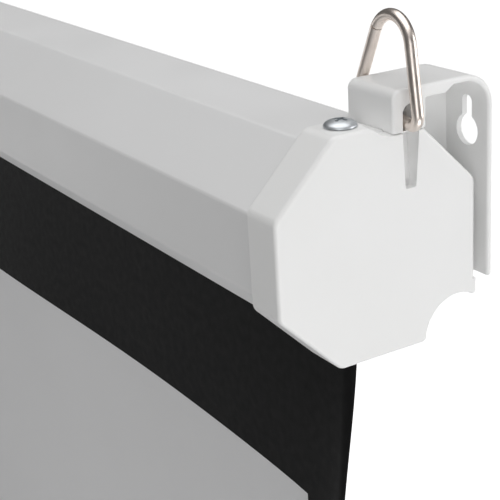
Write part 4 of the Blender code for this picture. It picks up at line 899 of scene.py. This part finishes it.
def sweep(tree, line, radius, sides):
    """A circle swept along a line, closed at both ends."""
    circle = result(tree, "GeometryNodeCurvePrimitiveCircle", {"Resolution": sides, "Radius": radius})
    return result(tree, "GeometryNodeCurveToMesh",
                  {"Curve": line, "Profile Curve": circle, "Fill Caps": True})


# %% [markdown]
# The line comes in as a mesh whose points carry a value, here the radius of the bend. The screws will use
# such points too, with the turn of each screw as their value.

# %% A geometry tree that bends round stock
BEND_TREE, given, out = new_tree("bent round stock", [
    ("Stock radius", "Float", 0.002), ("Sides", "Int", 32), ("Bend steps", "Int", 12),
    ("Material", "Material", None)])
bends = result(BEND_TREE, "GeometryNodeInputNamedAttribute", {"Name": "bend"}, data_type="FLOAT")
line = result(BEND_TREE, "GeometryNodeMeshToCurve", {0: given["Geometry"]})
line = result(BEND_TREE, "GeometryNodeFilletCurve",
              {"Curve": line, "Count": given["Bend steps"], "Radius": bends, "Limit Radius": True},
              mode="POLY")
finish_tree(BEND_TREE, sweep(BEND_TREE, line, given["Stock radius"], given["Sides"]), given, out)


def marked_points(name, places, label, joined=False):
    """A mesh of (x, y, z, value) points that keeps the values under label, loose or joined in a line."""
    mesh = bpy.data.meshes.new(name)
    pairs = [(number - 1, number) for number in range(1, len(places))] if joined else []
    mesh.from_pydata([place[:3] for place in places], pairs, [])
    mesh.attributes.new(label, "FLOAT", "POINT").data.foreach_set("value", [place[3] for place in places])
    return mesh


def bent(name, corners, radius, finish, bend_steps=12):
    """Round stock bent along (x, y, z, bend radius) corners."""
    line = marked_points(name, corners, "bend", joined=True)
    return grown(name, line, BEND_TREE, Stock_radius=radius, Bend_steps=bend_steps, Material=finish)


# %% [markdown]
# The hanging ring is a triangle of 3.7 mm wire with a wide round top. Its two ends meet in a butt joint
# where the far leg runs into that top, and a hair's breadth is left open. It hangs through the bracket's eye
# and leans the way it does in the picture: a little back, a little outwards, a little turned.

# %% Hanging rings
WIRE_RADIUS = 0.00185
RING_HALF_WIDTH = 0.0170
RING_LEG_ANGLE = math.radians(18.4)
RING_TOP_RADIUS = 0.0098
RING_CORNER = 0.0030
RING_JOINT = 0.0004
RING_JOINT_TURN = math.radians(9)
RING_X = -0.0116
RING_OUT = math.radians(5.5)
RING_BACK = math.radians(2.7)
RING_TURN = math.radians(3.8)
ring_centre = (RING_HALF_WIDTH * math.cos(RING_LEG_ANGLE) - RING_TOP_RADIUS) / math.sin(RING_LEG_ANGLE)
joint = math.pi - (RING_LEG_ANGLE + RING_JOINT_TURN)
half_joint = RING_JOINT / 2 / RING_TOP_RADIUS
below = arc(RING_TOP_RADIUS, joint + half_joint, math.pi - RING_LEG_ANGLE, 3, (0.0, ring_centre))
above = arc(RING_TOP_RADIUS, RING_LEG_ANGLE, joint - half_joint, 40, (0.0, ring_centre))
ring_line = [(*point, 0.0) for point in below]
ring_line += [(-RING_HALF_WIDTH, 0.0, RING_CORNER), (RING_HALF_WIDTH, 0.0, RING_CORNER)]
ring_line += [(*point, 0.0) for point in above]
ring = bent("ring", [(y, 0.0, z, bend) for y, z, bend in ring_line], WIRE_RADIUS, NICKEL, bend_steps=18)

ring_tilt = (Matrix.Rotation(-RING_TURN, 4, "Z") @ Matrix.Rotation(RING_OUT, 4, "Y")
             @ Matrix.Rotation(-RING_BACK, 4, "X"))
ring_low = SEAT_Z + GAP + WIRE_RADIUS + math.tan(RING_OUT) * (-RING_X - SEAT_STEP_WIDTH)
ring.data.transform(Matrix.Translation((RING_X, EYE_Y, ring_low)) @ ring_tilt)
for side, matrix in ENDS:
    piece = smooth(at_end(ring, f"ring_{side}", matrix), 40)
    fit(piece, f"ring_{side}", "nickel", f"hanging_ring_{side}")
bpy.data.objects.remove(ring, do_unlink=True)

# %% [markdown]
# The screws are alike but for their size: a domed head with a cross recess and a threaded shank that ends
# in a point. One geometry tree makes such a screw from a ball, a drawn-in cylinder and a swept thread, cuts
# the cross, and stands a copy on every point that it is given, turned as that point says. All its other
# measures are shares of the sizes that it is given.

# %% A geometry tree for screws
DOME_POWER = 0.90
SCREW_TREE, given, out = new_tree("cross-recess screw", [
    ("Head radius", "Float", 0.005), ("Head height", "Float", 0.0024), ("Shank radius", "Float", 0.0019),
    ("Shank length", "Float", 0.0095), ("Recess depth", "Float", 0.0015), ("Thread pitch", "Float", 0.0013),
    ("Tilt", "Float", 0.0), ("Material", "Material", None)])
steps, times, vector = short_forms(SCREW_TREE)
head_radius, head_height, shank_radius, shank_length = (
    given[name] for name in ("Head radius", "Head height", "Shank radius", "Shank length"))


def moved(mesh, **how):
    """A mesh with a Translation, Scale or Rotation."""
    return result(SCREW_TREE, "GeometryNodeTransform", {0: mesh, **how})


def raised(mesh, height):
    return moved(mesh, Translation=vector(0.0, 0.0, height))


def reshaped(mesh, x, y, z):
    return result(SCREW_TREE, "GeometryNodeSetPosition", {"Geometry": mesh, "Position": vector(x, y, z)})


def solved(operation, first, *others):
    made = node(SCREW_TREE, "GeometryNodeMeshBoolean", operation=operation, solver="EXACT")
    together = operation == "UNION"
    SCREW_TREE.links.new(first, made.inputs[1 if together else 0])
    for mesh in others:
        SCREW_TREE.links.new(mesh, made.inputs[1])
    return made.outputs[0]


ball = result(SCREW_TREE, "GeometryNodeMeshUVSphere", {"Segments": 48, "Rings": 32, "Radius": 1.0})
dome = moved(ball, Scale=vector(head_radius, head_radius, head_height))
big = times(head_radius, 4.0)
under = result(SCREW_TREE, "GeometryNodeMeshCube", {"Size": vector(big, big, big)})
dome = solved("DIFFERENCE", dome, raised(under, times(big, -0.5)))
x, y, z = position_in(SCREW_TREE)
share = steps("MAXIMUM", steps("DIVIDE", z, head_height), 0.0)
dome = reshaped(dome, x, y, times(steps("POWER", share, DOME_POWER), head_height))
print("nodes for a screw's head", len(SCREW_TREE.nodes))

# %% [markdown]
# The shank is a cylinder whose points are drawn in towards the axis over its last stretch. The thread is a
# coil with a three-sided section, and it is drawn in by the same rule, so it runs out at the point.

# %% Shank and thread of a screw
CORE = 0.8
THREADED = 0.9
THREAD_START = -0.96
RIDGE = 0.19
POINT = 0.3
POINT_WIDTH = 0.12


def coil_line(tree, radius, height, turns, points_a_turn):
    return result(tree, "GeometryNodeCurveSpiral", {
        "Resolution": points_a_turn, "Rotations": turns, "Start Radius": radius, "End Radius": radius,
        "Height": height})


core_radius = times(shank_radius, CORE)
shank = result(SCREW_TREE, "GeometryNodeMeshCylinder",
               {"Vertices": 32, "Side Segments": 24, "Radius": core_radius, "Depth": shank_length})
shank = raised(shank, steps("SUBTRACT", times(head_height, 0.25), times(shank_length, 0.5)))
threaded = times(shank_length, THREADED)
thread_turns = steps("DIVIDE", threaded, given["Thread pitch"])
coil = coil_line(SCREW_TREE, core_radius, threaded, thread_turns, 28)
thread = sweep(SCREW_TREE, coil, times(shank_radius, RIDGE), 3)
shank = solved("UNION", shank, raised(thread, times(shank_length, THREAD_START)))
x, y, z = position_in(SCREW_TREE)
from_point = steps("ADD", z, shank_length)
drawn_in = between(SCREW_TREE, from_point, POINT_WIDTH, 1.0, 0.0, times(shank_length, POINT))
shank = reshaped(shank, times(x, drawn_in), times(y, drawn_in), z)
print("nodes with its shank", len(SCREW_TREE.nodes))

# %% [markdown]
# The cross recess is cut with two blades and a cone between them, which gives its middle the deeper pit
# that a driver's tip centres in. After that the screw is stood on its points.

# %% Recess and copies of a screw
RECESS_REACH = 0.90
RECESS_WIDTH = 0.22
PIT_TOP = 0.24
PIT_LOW = 0.08
reach = times(head_radius, RECESS_REACH)
width = times(head_radius, RECESS_WIDTH)
tall = times(given["Recess depth"], 2.0)
blades = [result(SCREW_TREE, "GeometryNodeMeshCube", {"Size": size})
          for size in (vector(reach, width, tall), vector(width, reach, tall))]
pit = result(SCREW_TREE, "GeometryNodeMeshCone",
             {"Vertices": 24, "Radius Top": times(head_radius, PIT_TOP),
              "Radius Bottom": times(head_radius, PIT_LOW), "Depth": tall})
cross = solved("UNION", *blades, raised(pit, times(tall, -0.5)))
screw = solved("DIFFERENCE", solved("UNION", dome, shank), raised(cross, head_height))
screw = moved(screw, Rotation=vector(given["Tilt"], 0.0, 0.0))
spin = result(SCREW_TREE, "GeometryNodeInputNamedAttribute", {"Name": "spin"}, data_type="FLOAT")
stood = result(SCREW_TREE, "GeometryNodeInstanceOnPoints",
               {"Points": given["Geometry"], "Instance": screw, "Rotation": vector(0.0, 0.0, spin)})
finish_tree(SCREW_TREE, stood, given, out)


def screws(name, places, finish, **sizes):
    """Screws at (x, y, z, turn) places."""
    return smooth(grown(name, marked_points(name, places, "spin"), SCREW_TREE, Material=finish, **sizes), 35)


# %% [markdown]
# Each cap is held by one screw in its top, whose shank passes through the cap and the case's top wall.

# %% Cap screws
CAP_SCREW_TURN = math.radians(25)
cap_screw_z = CASE_AXIS.z + CAP_HALF_HEIGHT + GAP
cap_screw_places = [(side * (HALF_LENGTH - SCREW_INSET), CASE_AXIS.y - SCREW_FORWARD, cap_screw_z,
                     side * CAP_SCREW_TURN) for side in (1, -1)]
cap_screws = screws("cap_screws", cap_screw_places, ZINC, Head_radius=0.0051, Head_height=0.0021,
                    Shank_radius=0.0019, Shank_length=0.0095, Recess_depth=0.0015, Thread_pitch=0.0013)
fit(cap_screws, "case", "zinc", "cap_screw_right", "cap_screw_left")

# %% [markdown]
# The sheet hangs from the roller's rear side. Its weight keeps it nearly flat, but it holds soft upright
# waves, and each side edge curls forwards the way coated fabric does. All of this follows a rule, so a
# geometry tree makes it: a grid whose rows and columns are spaced to fall on the black border's lines, and
# whose depth is a fading wave plus a curl. A cloth simulation would need thousands of steps to settle into
# the same few waves, and would never give the same border twice.

# %% A geometry tree for the sheet
SHEET_WIDTH = 1.686
SIDE_BORDER = 0.0335
TOP_BORDER = 0.0846
BOTTOM_BORDER = 0.0335
PICTURE_HEIGHT = 1.2145
SHEET_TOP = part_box("screen_sheet")[1].z
SHEET_HEIGHT = SHEET_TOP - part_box("screen_sheet")[0].z
CASE_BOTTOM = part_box("casing_shell")[0].z
BAR_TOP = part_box("bottom_bar")[1].z
COLUMNS = (4, 163, 4)
ROWS = (3, 10, 61, 4, 2)
SHEET_TREE, given, out = new_tree("waved sheet", [
    ("Width", "Float", SHEET_WIDTH), ("Side border", "Float", SIDE_BORDER), ("Top", "Float", SHEET_TOP),
    ("Hidden height", "Float", 0.033), ("Top border", "Float", TOP_BORDER),
    ("Picture height", "Float", PICTURE_HEIGHT), ("Bottom border", "Float", BOTTOM_BORDER),
    ("Hem height", "Float", 0.007), ("Plane", "Float", SHEET_Y), ("Wave depth", "Float", 0.00436),
    ("Forward share", "Float", 0.96), ("First crest", "Float", 0.150), ("Half waves", "Float", 3.0),
    ("Hollow", "Float", 0.0032), ("Hollow at", "Float", 0.040), ("Edge curl", "Float", 0.0040),
    ("Curl reach", "Float", 0.007), ("Waves grow over", "Float", 0.100), ("Waves end over", "Float", 0.600),
    ("Picture finish", "Material", None), ("Material", "Material", None)])
steps, times, vector = short_forms(SHEET_TREE)


def uneven_ruler(count, lengths, counts):
    """Turns a grid line's number into a distance, with a different spacing in each stretch."""
    total, start = None, 0
    for length, lines in zip(lengths, counts):
        stretch = between(SHEET_TREE, count, 0.0, length, float(start), float(start + lines))
        total = stretch if total is None else steps("ADD", total, stretch)
        start += lines
    return total


grid = result(SHEET_TREE, "GeometryNodeMeshGrid", {
    "Size X": float(sum(COLUMNS)), "Size Y": float(sum(ROWS)), "Vertices X": sum(COLUMNS) + 1,
    "Vertices Y": sum(ROWS) + 1})
grid_x, grid_y, _ = position_in(SHEET_TREE)
side = given["Side border"]
picture_width = steps("SUBTRACT", given["Width"], times(side, 2.0))
across = uneven_ruler(steps("ADD", grid_x, sum(COLUMNS) / 2), (side, picture_width, side), COLUMNS)
heights = [given[name] for name in ("Hidden height", "Top border", "Picture height", "Bottom border",
                                    "Hem height")]
down = uneven_ruler(steps("SUBTRACT", sum(ROWS) / 2, grid_y), heights, ROWS)
print("sheet grid", sum(COLUMNS), "by", sum(ROWS), "faces")

# %% [markdown]
# The wave's depth is worked out from the distance to the nearer side edge, so both sides are alike, and it
# fades a little towards the middle. Near the case the cloth is held by the roller and near the bar by the
# bar, so the waves die away at both ends.

# %% Waves, curl and fading
MIDDLE_FADE = 0.4
half_width = times(given["Width"], 0.5)
x = steps("SUBTRACT", across, half_width)
z = steps("SUBTRACT", given["Top"], down)
from_edge = steps("SUBTRACT", half_width, steps("ABSOLUTE", x))
waved_width = times(steps("SUBTRACT", half_width, given["First crest"]), 2.0)
wave_length = steps("DIVIDE", waved_width, given["Half waves"])
past_crest = times(steps("SUBTRACT", from_edge, given["First crest"]), 2 * math.pi)
crest = steps("COSINE", steps("DIVIDE", past_crest, wave_length))
fade = steps("SUBTRACT", 1.0, times(steps("DIVIDE", from_edge, half_width), MIDDLE_FADE))
wave = times(given["Wave depth"], steps("SUBTRACT", times(fade, crest), given["Forward share"]))
near_edge = steps("DIVIDE", from_edge, given["Hollow at"])
hollow = times(near_edge, steps("EXPONENT", steps("SUBTRACT", 1.0, near_edge)), given["Hollow"])
edge_turn = steps("EXPONENT", times(steps("DIVIDE", from_edge, given["Curl reach"]), -1.0))
curl = steps("SUBTRACT", hollow, times(edge_turn, given["Edge curl"]))
held = [between(SHEET_TREE, distance, 0.0, 1.0, 0.0, given[over], interpolation_type="SMOOTHSTEP")
        for distance, over in ((steps("SUBTRACT", CASE_BOTTOM, z), "Waves grow over"),
                               (steps("SUBTRACT", z, BAR_TOP), "Waves end over"))]
depth = times(steps("ADD", wave, curl), *held)
place = vector(x, steps("ADD", given["Plane"], depth), z)
print("nodes for the sheet's waves", len(SHEET_TREE.nodes))

# %% [markdown]
# The flat layout is stored before the points move, so it stays the cloth's true cut in metres. The border is
# then found in that layout, and the faces inside it get the white finish. The back is a third finish, given
# by the modifier that adds the thickness.

# %% Cut, border and thickness of the sheet
stored = result(SHEET_TREE, "GeometryNodeStoreNamedAttribute",
                {"Geometry": grid, "Name": "UVMap", "Value": vector(across, down, 0.0)},
                data_type="FLOAT2", domain="CORNER")
hung = result(SHEET_TREE, "GeometryNodeSetPosition", {"Geometry": stored, "Position": place})
soft = result(SHEET_TREE, "GeometryNodeSetShadeSmooth", {0: hung})
cut_x, cut_y, _ = split(SHEET_TREE, result(SHEET_TREE, "GeometryNodeInputNamedAttribute", {"Name": "UVMap"},
                                           data_type="FLOAT_VECTOR"))
picture_top = steps("ADD", heights[0], heights[1])
picture_end = steps("ADD", picture_top, heights[2])
in_picture = times(steps("GREATER_THAN", cut_x, side),
                   steps("LESS_THAN", cut_x, steps("SUBTRACT", given["Width"], side)),
                   steps("GREATER_THAN", cut_y, picture_top), steps("LESS_THAN", cut_y, picture_end))
finish_tree(SHEET_TREE, soft, given, out, ("Picture finish", {"Selection": in_picture}))

hidden = SHEET_TOP - CASE_BOTTOM
hem = SHEET_HEIGHT - hidden - TOP_BORDER - PICTURE_HEIGHT - BOTTOM_BORDER
sheet = grown("sheet", bpy.data.meshes.new("sheet"), SHEET_TREE, Width=SHEET_WIDTH, Hidden_height=hidden,
              Hem_height=hem, Picture_finish=SHEET_WHITE, Material=SHEET_BLACK)
slots = [material.name for material in sheet.data.materials]
sheet.data.materials.append(SHEET_BACK)
cloth = sheet.modifiers.new("thickness", "SOLIDIFY")
cloth.thickness = CLOTH
cloth.offset = 0.0
cloth.material_offset = len(slots)
flatten(sheet)
fit(sheet, "case", "sheet_white", "screen_sheet")
print("sheet finishes", slots, "flat size", SHEET_WIDTH, round(SHEET_HEIGHT, 4))

# %% [markdown]
# The turns that are left on the roller and the hem round its rod are the same cloth. A spiral and a loop with
# the cloth's thickness are enough for them, because both are held tight.

# %% Turns on the roller and the hem
TURNS = 1.5
TURN_STEPS = 180
TURN_PITCH = 0.00075


def turns_line():
    """The roller's turns in (y, z), from the outermost inwards."""
    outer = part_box("sheet_wrap")[1].y - ROLLER_AXIS.y
    points = []
    for number in range(TURN_STEPS + 1):
        angle = 2 * math.pi * TURNS * number / TURN_STEPS
        radius = outer - TURN_PITCH * TURNS * number / TURN_STEPS
        points.append((radius * math.cos(angle), radius * math.sin(angle)))
    return about(ROLLER_AXIS, points)


spiral = turns_line()
wrap = plate("turns_on_roller", with_wall(spiral, CLOTH), -SHEET_WIDTH / 2, SHEET_WIDTH / 2, SHEET_BACK)
fit(smooth(wrap, 40), "roller", "sheet_black", "sheet_wrap")

ROD_RADIUS = 0.0020
ROD_DROP = 0.0025
TAB_TOP = 0.0085
loop_radius = ROD_RADIUS + GAP + CLOTH
tab_y = CLOTH / 2 + GAP + CLOTH
opening = math.asin(tab_y / loop_radius)
hem_line = arc(loop_radius, math.pi / 2 + opening, 2.5 * math.pi - opening, 40, (0.0, -ROD_DROP))
hem_line = about(BAR_AXIS, hem_line + [(tab_y, TAB_TOP)])
hem_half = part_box("hem_pocket")[1].x
hem_piece = plate("hem", with_wall(hem_line, CLOTH), -hem_half, hem_half, SHEET_BLACK)
fit(smooth(hem_piece, 40), "drop", "sheet_black", "hem_pocket")

# %% [markdown]
# The spring that winds the sheet up lies inside the roller. It is a real coil, so a geometry tree sweeps a
# round wire along a spiral. Thirty-two points a turn keep it round, which a screw modifier could do as well,
# but a tree lets the wire, the radius and the number of turns be set as plain sizes.

# %% Torsion spring
SPRING_WIRE = 0.0010
SPRING_RADIUS = 0.0080
SPRING_TURNS = 18.0
SPRING_INSET = 0.0450
SPRING_LENGTH = 0.1600
COIL_TREE, given, out = new_tree("coil spring", [
    ("Wire radius", "Float", SPRING_WIRE), ("Coil radius", "Float", SPRING_RADIUS),
    ("Turns", "Float", SPRING_TURNS), ("Length", "Float", SPRING_LENGTH), ("Points a turn", "Int", 32),
    ("Material", "Material", None)])
coil = coil_line(COIL_TREE, given["Coil radius"], given["Length"], given["Turns"], given["Points a turn"])
finish_tree(COIL_TREE, sweep(COIL_TREE, coil, given["Wire radius"], 16), given, out)
spring = grown("spring", bpy.data.meshes.new("spring"), COIL_TREE, Material=STEEL)
spring.data.transform(Matrix(((0, 0, -1, HALF_LENGTH - SPRING_INSET), (1, 0, 0, ROLLER_AXIS.y),
                              (0, -1, 0, ROLLER_AXIS.z), (0, 0, 0, 1))))
fit(smooth(spring, 50), "case", "steel", "torsion_spring")
print("gap between turns", round((SPRING_LENGTH / SPRING_TURNS - 2 * SPRING_WIRE) * 1000, 2), "mm")

# %% [markdown]
# The bottom bar is a tube of painted steel with a slot along its top, through which the hem and its rod are
# slid in from one end. It could be a plain cylinder with a groove cut into it, but the hem needs real room
# inside, so it is drawn the way the case is: one line with a constant wall. Two holes take the clip's screws.

# %% Bottom bar and hem rod
BAR_RADIUS = 0.0100
BAR_WALL = 0.0010
BAR_SLOT = 0.0034
BAR_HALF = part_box("bottom_bar")[1].x
CLIP_SCREW_AT = 0.0140
CLIP_SCREW_RADIUS = 0.00145


def screw_holes(name, low, high):
    """Tools for the clip's two screw holes, between two heights given from the bar's axis."""
    return [rod(f"{name} {side}", (side * CLIP_SCREW_AT, BAR_AXIS.y, BAR_AXIS.z + low),
                (side * CLIP_SCREW_AT, BAR_AXIS.y, BAR_AXIS.z + high), CLIP_SCREW_RADIUS + GAP, segments=32)
            for side in (-1, 1)]


half_slot = math.asin(BAR_SLOT / 2 / BAR_RADIUS)
bar_line = about(BAR_AXIS, arc(BAR_RADIUS, math.pi / 2 + half_slot, 2.5 * math.pi - half_slot, 90))
bar = plate("bar", with_wall(bar_line, BAR_WALL), -BAR_HALF, BAR_HALF, WHITE_PAINT)
round_edges(bar, width=0.00025, segments=2, sharper_than=50)
cut(bar, *screw_holes("bar screw hole", -2 * BAR_RADIUS, -BAR_RADIUS / 2))
fit(smooth(bar), "drop", "white_paint", "bottom_bar")
rod_line = [(side * hem_half, BAR_AXIS.y, BAR_AXIS.z - ROD_DROP) for side in (-1, 1)]
hem_rod = rod("hem_rod_round", *rod_line, ROD_RADIUS, NYLON, segments=32, edge=0.0004)
fit(smooth(hem_rod), "drop", "nylon", "hem_rod")

# %% [markdown]
# The bar's ends are closed by moulded caps with a rounded shoulder and a short plug, and next to each a
# rubber ring meets the case softly when the screen is rolled up. Both are round, so they are turned.

# %% Bar caps and buffers
BAR_CAP = 0.0022
BAR_CAP_CROWN = 0.0024
BAR_CAP_EDGE = 0.0008
BAR_PLUG = 0.0040
PLUG_EDGE = 0.0006
BUFFER_WALL = 0.0013
BUFFER_WIDTH = 0.0034
BUFFER_EDGES = (0.0002, 0.0006)
plug_radius = BAR_RADIUS - BAR_WALL - GAP
cap_profile = rounded([(0.0, BAR_CAP), (BAR_RADIUS * 0.75, BAR_CAP, BAR_CAP_CROWN),
                       (BAR_RADIUS, BAR_CAP * 0.4, BAR_CAP_EDGE), (BAR_RADIUS, GAP), (plug_radius, GAP),
                       (plug_radius, -BAR_PLUG, PLUG_EDGE), (0.0, -BAR_PLUG)], closed=False, facets=5)
inner, outer = BAR_RADIUS + GAP, BAR_RADIUS + GAP + BUFFER_WALL
half_width = BUFFER_WIDTH / 2
inner_edge, outer_edge = BUFFER_EDGES
buffer_profile = rounded([(inner, -half_width, inner_edge), (outer, -half_width, outer_edge),
                          (outer, half_width, outer_edge), (inner, half_width, inner_edge)], facets=6)
for side, name in ((1, "right"), (-1, "left")):
    bar_cap = turned(f"bar_end_{name}", cap_profile, (side * BAR_HALF, BAR_AXIS.y, BAR_AXIS.z), (side, 0, 0),
                     BLACK_PLASTIC, segments=72)
    fit(smooth(bar_cap, 40), "drop", "black_plastic", f"bar_cap_{name}")
    buffer_place = (side * (SHEET_WIDTH / 2 + GAP + half_width), BAR_AXIS.y, BAR_AXIS.z)
    buffer = turned(f"buffer_{name}", buffer_profile + buffer_profile[:1], buffer_place, (side, 0, 0), RUBBER,
                    segments=72)
    fit(smooth(buffer, 40), "drop", "rubber", f"bar_buffer_{name}")

# %% [markdown]
# The clip is a moulded saddle under the bar with a lug at each side, and the handle swings in the lugs. The
# saddle and lugs are drawn out and rounded first, and the bar's seat and the bores are cut last, so that the
# rounding leaves those round.

# %% Handle clip
CLIP_LENGTH = 0.0640
CLIP_WIDTH = 0.0160
CLIP_DEPTH = 0.0135
CLIP_CORNER = 0.0020
LUG_THICKNESS = 0.0045
LUG_WIDTH = 0.0090
LUG_DROP = 0.0085
LUG_OVERLAP = 0.0010
LUG_AT = 0.0240
HANDLE_RADIUS = 0.0023
HINGE_PLAY = 0.0002
HINGE = Vector((0.0, BAR_AXIS.y, BAR_AXIS.z - CLIP_DEPTH - LUG_DROP + LUG_WIDTH / 2))


def hanging_block(name, half_width, top, low, corner, start, end, *finishes):
    """A block below the bar, with rounded lower corners. Its heights are given from the bar's axis."""
    outline = rounded([(half_width, top), (-half_width, top), (-half_width, low, corner),
                       (half_width, low, corner)])
    return plate(name, about(BAR_AXIS, outline), start, end, *finishes)


clip = hanging_block("clip", CLIP_WIDTH / 2, -BAR_RADIUS / 3, -CLIP_DEPTH, CLIP_CORNER,
                     -CLIP_LENGTH / 2, CLIP_LENGTH / 2, BLACK_PLASTIC)
round_edges(clip, width=0.0006, segments=3, sharper_than=50)
for side in (-1, 1):
    ends = sorted((side * LUG_AT, side * (LUG_AT + LUG_THICKNESS)))
    lug = hanging_block(f"lug {side}", LUG_WIDTH / 2, LUG_OVERLAP - CLIP_DEPTH, -CLIP_DEPTH - LUG_DROP,
                        LUG_WIDTH / 2 * 0.99, *ends)
    join(clip, round_edges(lug, width=0.0005, segments=3, sharper_than=50))
bar_seat = rod("bar seat", (-CLIP_LENGTH, *BAR_AXIS.yz), (CLIP_LENGTH, *BAR_AXIS.yz),
               BAR_RADIUS + GAP, segments=96)
hinge_bore = rod("hinge bore", (-CLIP_LENGTH, *HINGE.yz), (CLIP_LENGTH, *HINGE.yz),
                 HANDLE_RADIUS + HINGE_PLAY, segments=48)
cut(clip, bar_seat, hinge_bore, *screw_holes("clip screw hole", -2 * CLIP_DEPTH, 0.0))
fit(smooth(clip, 35), "drop", "black_plastic", "handle_clip")

# %% [markdown]
# Two small screws from the same tree as the cap screws, turned head down, hold the clip to the bar. The
# handle is bent from round stock by the same tree as the ring.

# %% Clip screws and pull handle
CLIP_SCREW_TURN = math.radians(35)
HANDLE_HALF = 0.0380
HANDLE_LENGTH = 0.0340
HANDLE_CORNER = 0.0080
clip_screw_z = BAR_AXIS.z - CLIP_DEPTH - GAP
clip_screw_places = [(side * CLIP_SCREW_AT, BAR_AXIS.y, clip_screw_z, side * CLIP_SCREW_TURN)
                     for side in (1, -1)]
clip_screws = screws("clip_screws", clip_screw_places, ZINC, Tilt=math.pi, Head_radius=0.0030,
                     Head_height=0.00115, Shank_radius=CLIP_SCREW_RADIUS, Shank_length=CLIP_DEPTH / 2,
                     Recess_depth=0.0008, Thread_pitch=0.0010)
fit(clip_screws, "drop", "zinc", "clip_screw_right", "clip_screw_left")
handle_end = LUG_AT - 3 * GAP
handle_line = [(handle_end, 0.0, 0.0), (HANDLE_HALF, 0.0, HANDLE_CORNER / 1.6),
               (HANDLE_HALF, -HANDLE_LENGTH, HANDLE_CORNER), (-HANDLE_HALF, -HANDLE_LENGTH, HANDLE_CORNER),
               (-HANDLE_HALF, 0.0, HANDLE_CORNER / 1.6), (-handle_end, 0.0, 0.0)]
handle = bent("handle", [(x, HINGE.y, HINGE.z + z, bend) for x, z, bend in handle_line], HANDLE_RADIUS,
              BLACK_PLASTIC, bend_steps=14)
fit(smooth(handle, 40), "handle", "black_plastic", "pull_handle")

# %% [markdown]
# The pieces inside the roller and the lock stay as the model has them, because they are already as fine as
# they need to be for parts that are never seen together with the sheet. They still get real finishes.

# %% Finishes for the pieces inside
INSIDE = (
    (ZINC, ("roller_tube",)),
    (STEEL, ("roller_head", "gudgeon_pin", "pawl_pivot_upper", "pawl_pivot_lower", "pawl_upper", "pawl_lower",
             "spear_pin", "ratchet_disc")),
    (NYLON, ("roller_plug", "gudgeon_bush", "arbor_bearing")),
    (WOOD, ("spring_arbor",)),
)
for finish, names in INSIDE:
    for name in names:
        for socket in frame["nodes"][name].material_slots:
            socket.material = finish
    print(finish.name, "on", ", ".join(names))

# %% [markdown]
# The studio is plain, with a pale floor under the handle. The picture's background is pure white while the
# case's front is a mid grey. So the floor behind the screen glows a little, as a lit backdrop does, and the
# floor in front of it does not. A bright room all round would wash out the case's shaded front as well.

# %% Floor
FLOOR_BELOW = 0.04
FLOOR_SIZE = 60.0
GLOW = 0.95
GLOW_START = 0.8
GLOW_FULL = 2.2
FLOOR, floor_tree, floor_shader = new_finish("pale floor", (0.86, 0.86, 0.86), 0.9)
floor_x, floor_y, _ = split(floor_tree, place_of(floor_tree))
behind = sums(floor_tree, "SUBTRACT", floor_y, floor_x)
glow = between(floor_tree, behind, 0.0, GLOW, GLOW_START, GLOW_FULL)
floor_shader.inputs["Emission Color"].default_value = (1.0, 1.0, 1.0, 1.0)
floor_tree.links.new(glow, floor_shader.inputs["Emission Strength"])
floor_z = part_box("pull_handle")[0].z - FLOOR_BELOW
floor_mesh = bmesh.new()
bmesh.ops.create_grid(floor_mesh, x_segments=1, y_segments=1, size=FLOOR_SIZE)
bmesh.ops.translate(floor_mesh, vec=(0.0, 0.0, floor_z), verts=floor_mesh.verts)
floor = to_object("floor", floor_mesh, FLOOR)
print("floor at", round(floor_z, 3))

# %% [markdown]
# Four square softboxes give the tones of the picture. The one overhead makes the case's top the lightest of
# its sides. One in front and one behind, both beyond the right end, light the cap's face evenly, and a small
# low one lifts the underside. They could be sun lamps, but those would throw hard shadows on the cap.

# %% Softboxes
def softbox(name, place, target, size, power):
    lamp = bpy.data.lights.new(name, "AREA")
    lamp.shape = "SQUARE"
    lamp.size = size
    lamp.energy = power
    holder = bpy.data.objects.new(name, lamp)
    holder.location = place
    holder.rotation_euler = (Vector(target) - Vector(place)).to_track_quat("-Z", "Y").to_euler()
    holder.visible_camera = False
    scene.collection.objects.link(holder)
    print(f"{name}: {size} m wide, {power} W")


CAP_MIDDLE = (0.85, -0.04, -0.03)
CASE_TOP_MIDDLE = (0.9, -0.05, 0.0)
softbox("overhead softbox", (0.9, -0.2, 2.2), CASE_TOP_MIDDLE, size=3.2, power=58.0)
softbox("front softbox", (3.3, -1.95, 0.4), CAP_MIDDLE, size=1.8, power=20.3)
softbox("rear softbox", (2.7, 2.5, 0.5), CAP_MIDDLE, size=1.8, power=31.5)
softbox("low softbox", (2.2, -0.04, -1.0), CAP_MIDDLE, size=0.9, power=10.0)

# %% [markdown]
# A weak white light from all round fills what the softboxes leave dark. The plain view transform keeps white
# as white, where the film-like one that Blender starts with would grey it.

# %% Fill light and view
FILL = 0.11
world = bpy.data.worlds.new("studio")
world.use_nodes = True
background = world.node_tree.nodes["Background"]
background.inputs["Color"].default_value = (1.0, 1.0, 1.0, 1.0)
background.inputs["Strength"].default_value = FILL
scene.world = world
scene.view_settings.view_transform = "Standard"
print("fill light", FILL)

# %% [markdown]
# The sheet and the turns on the roller are one cloth. When the bar goes up, the real sheet winds on to the
# roller.
# Here the cloth's length in the turns is summed along the spiral, the sheet is given a mesh of its own, and
# the bar's travel is read from the drop's joint and printed.

wrap_length = sum((Vector(a) - Vector(b)).length for a, b in zip(spiral, spiral[1:]))
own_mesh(sheet)
travel = [joint for joint in frame["joints"] if joint["name"] == "screen_drop"][0]
print("bar travel", travel["range_m"])
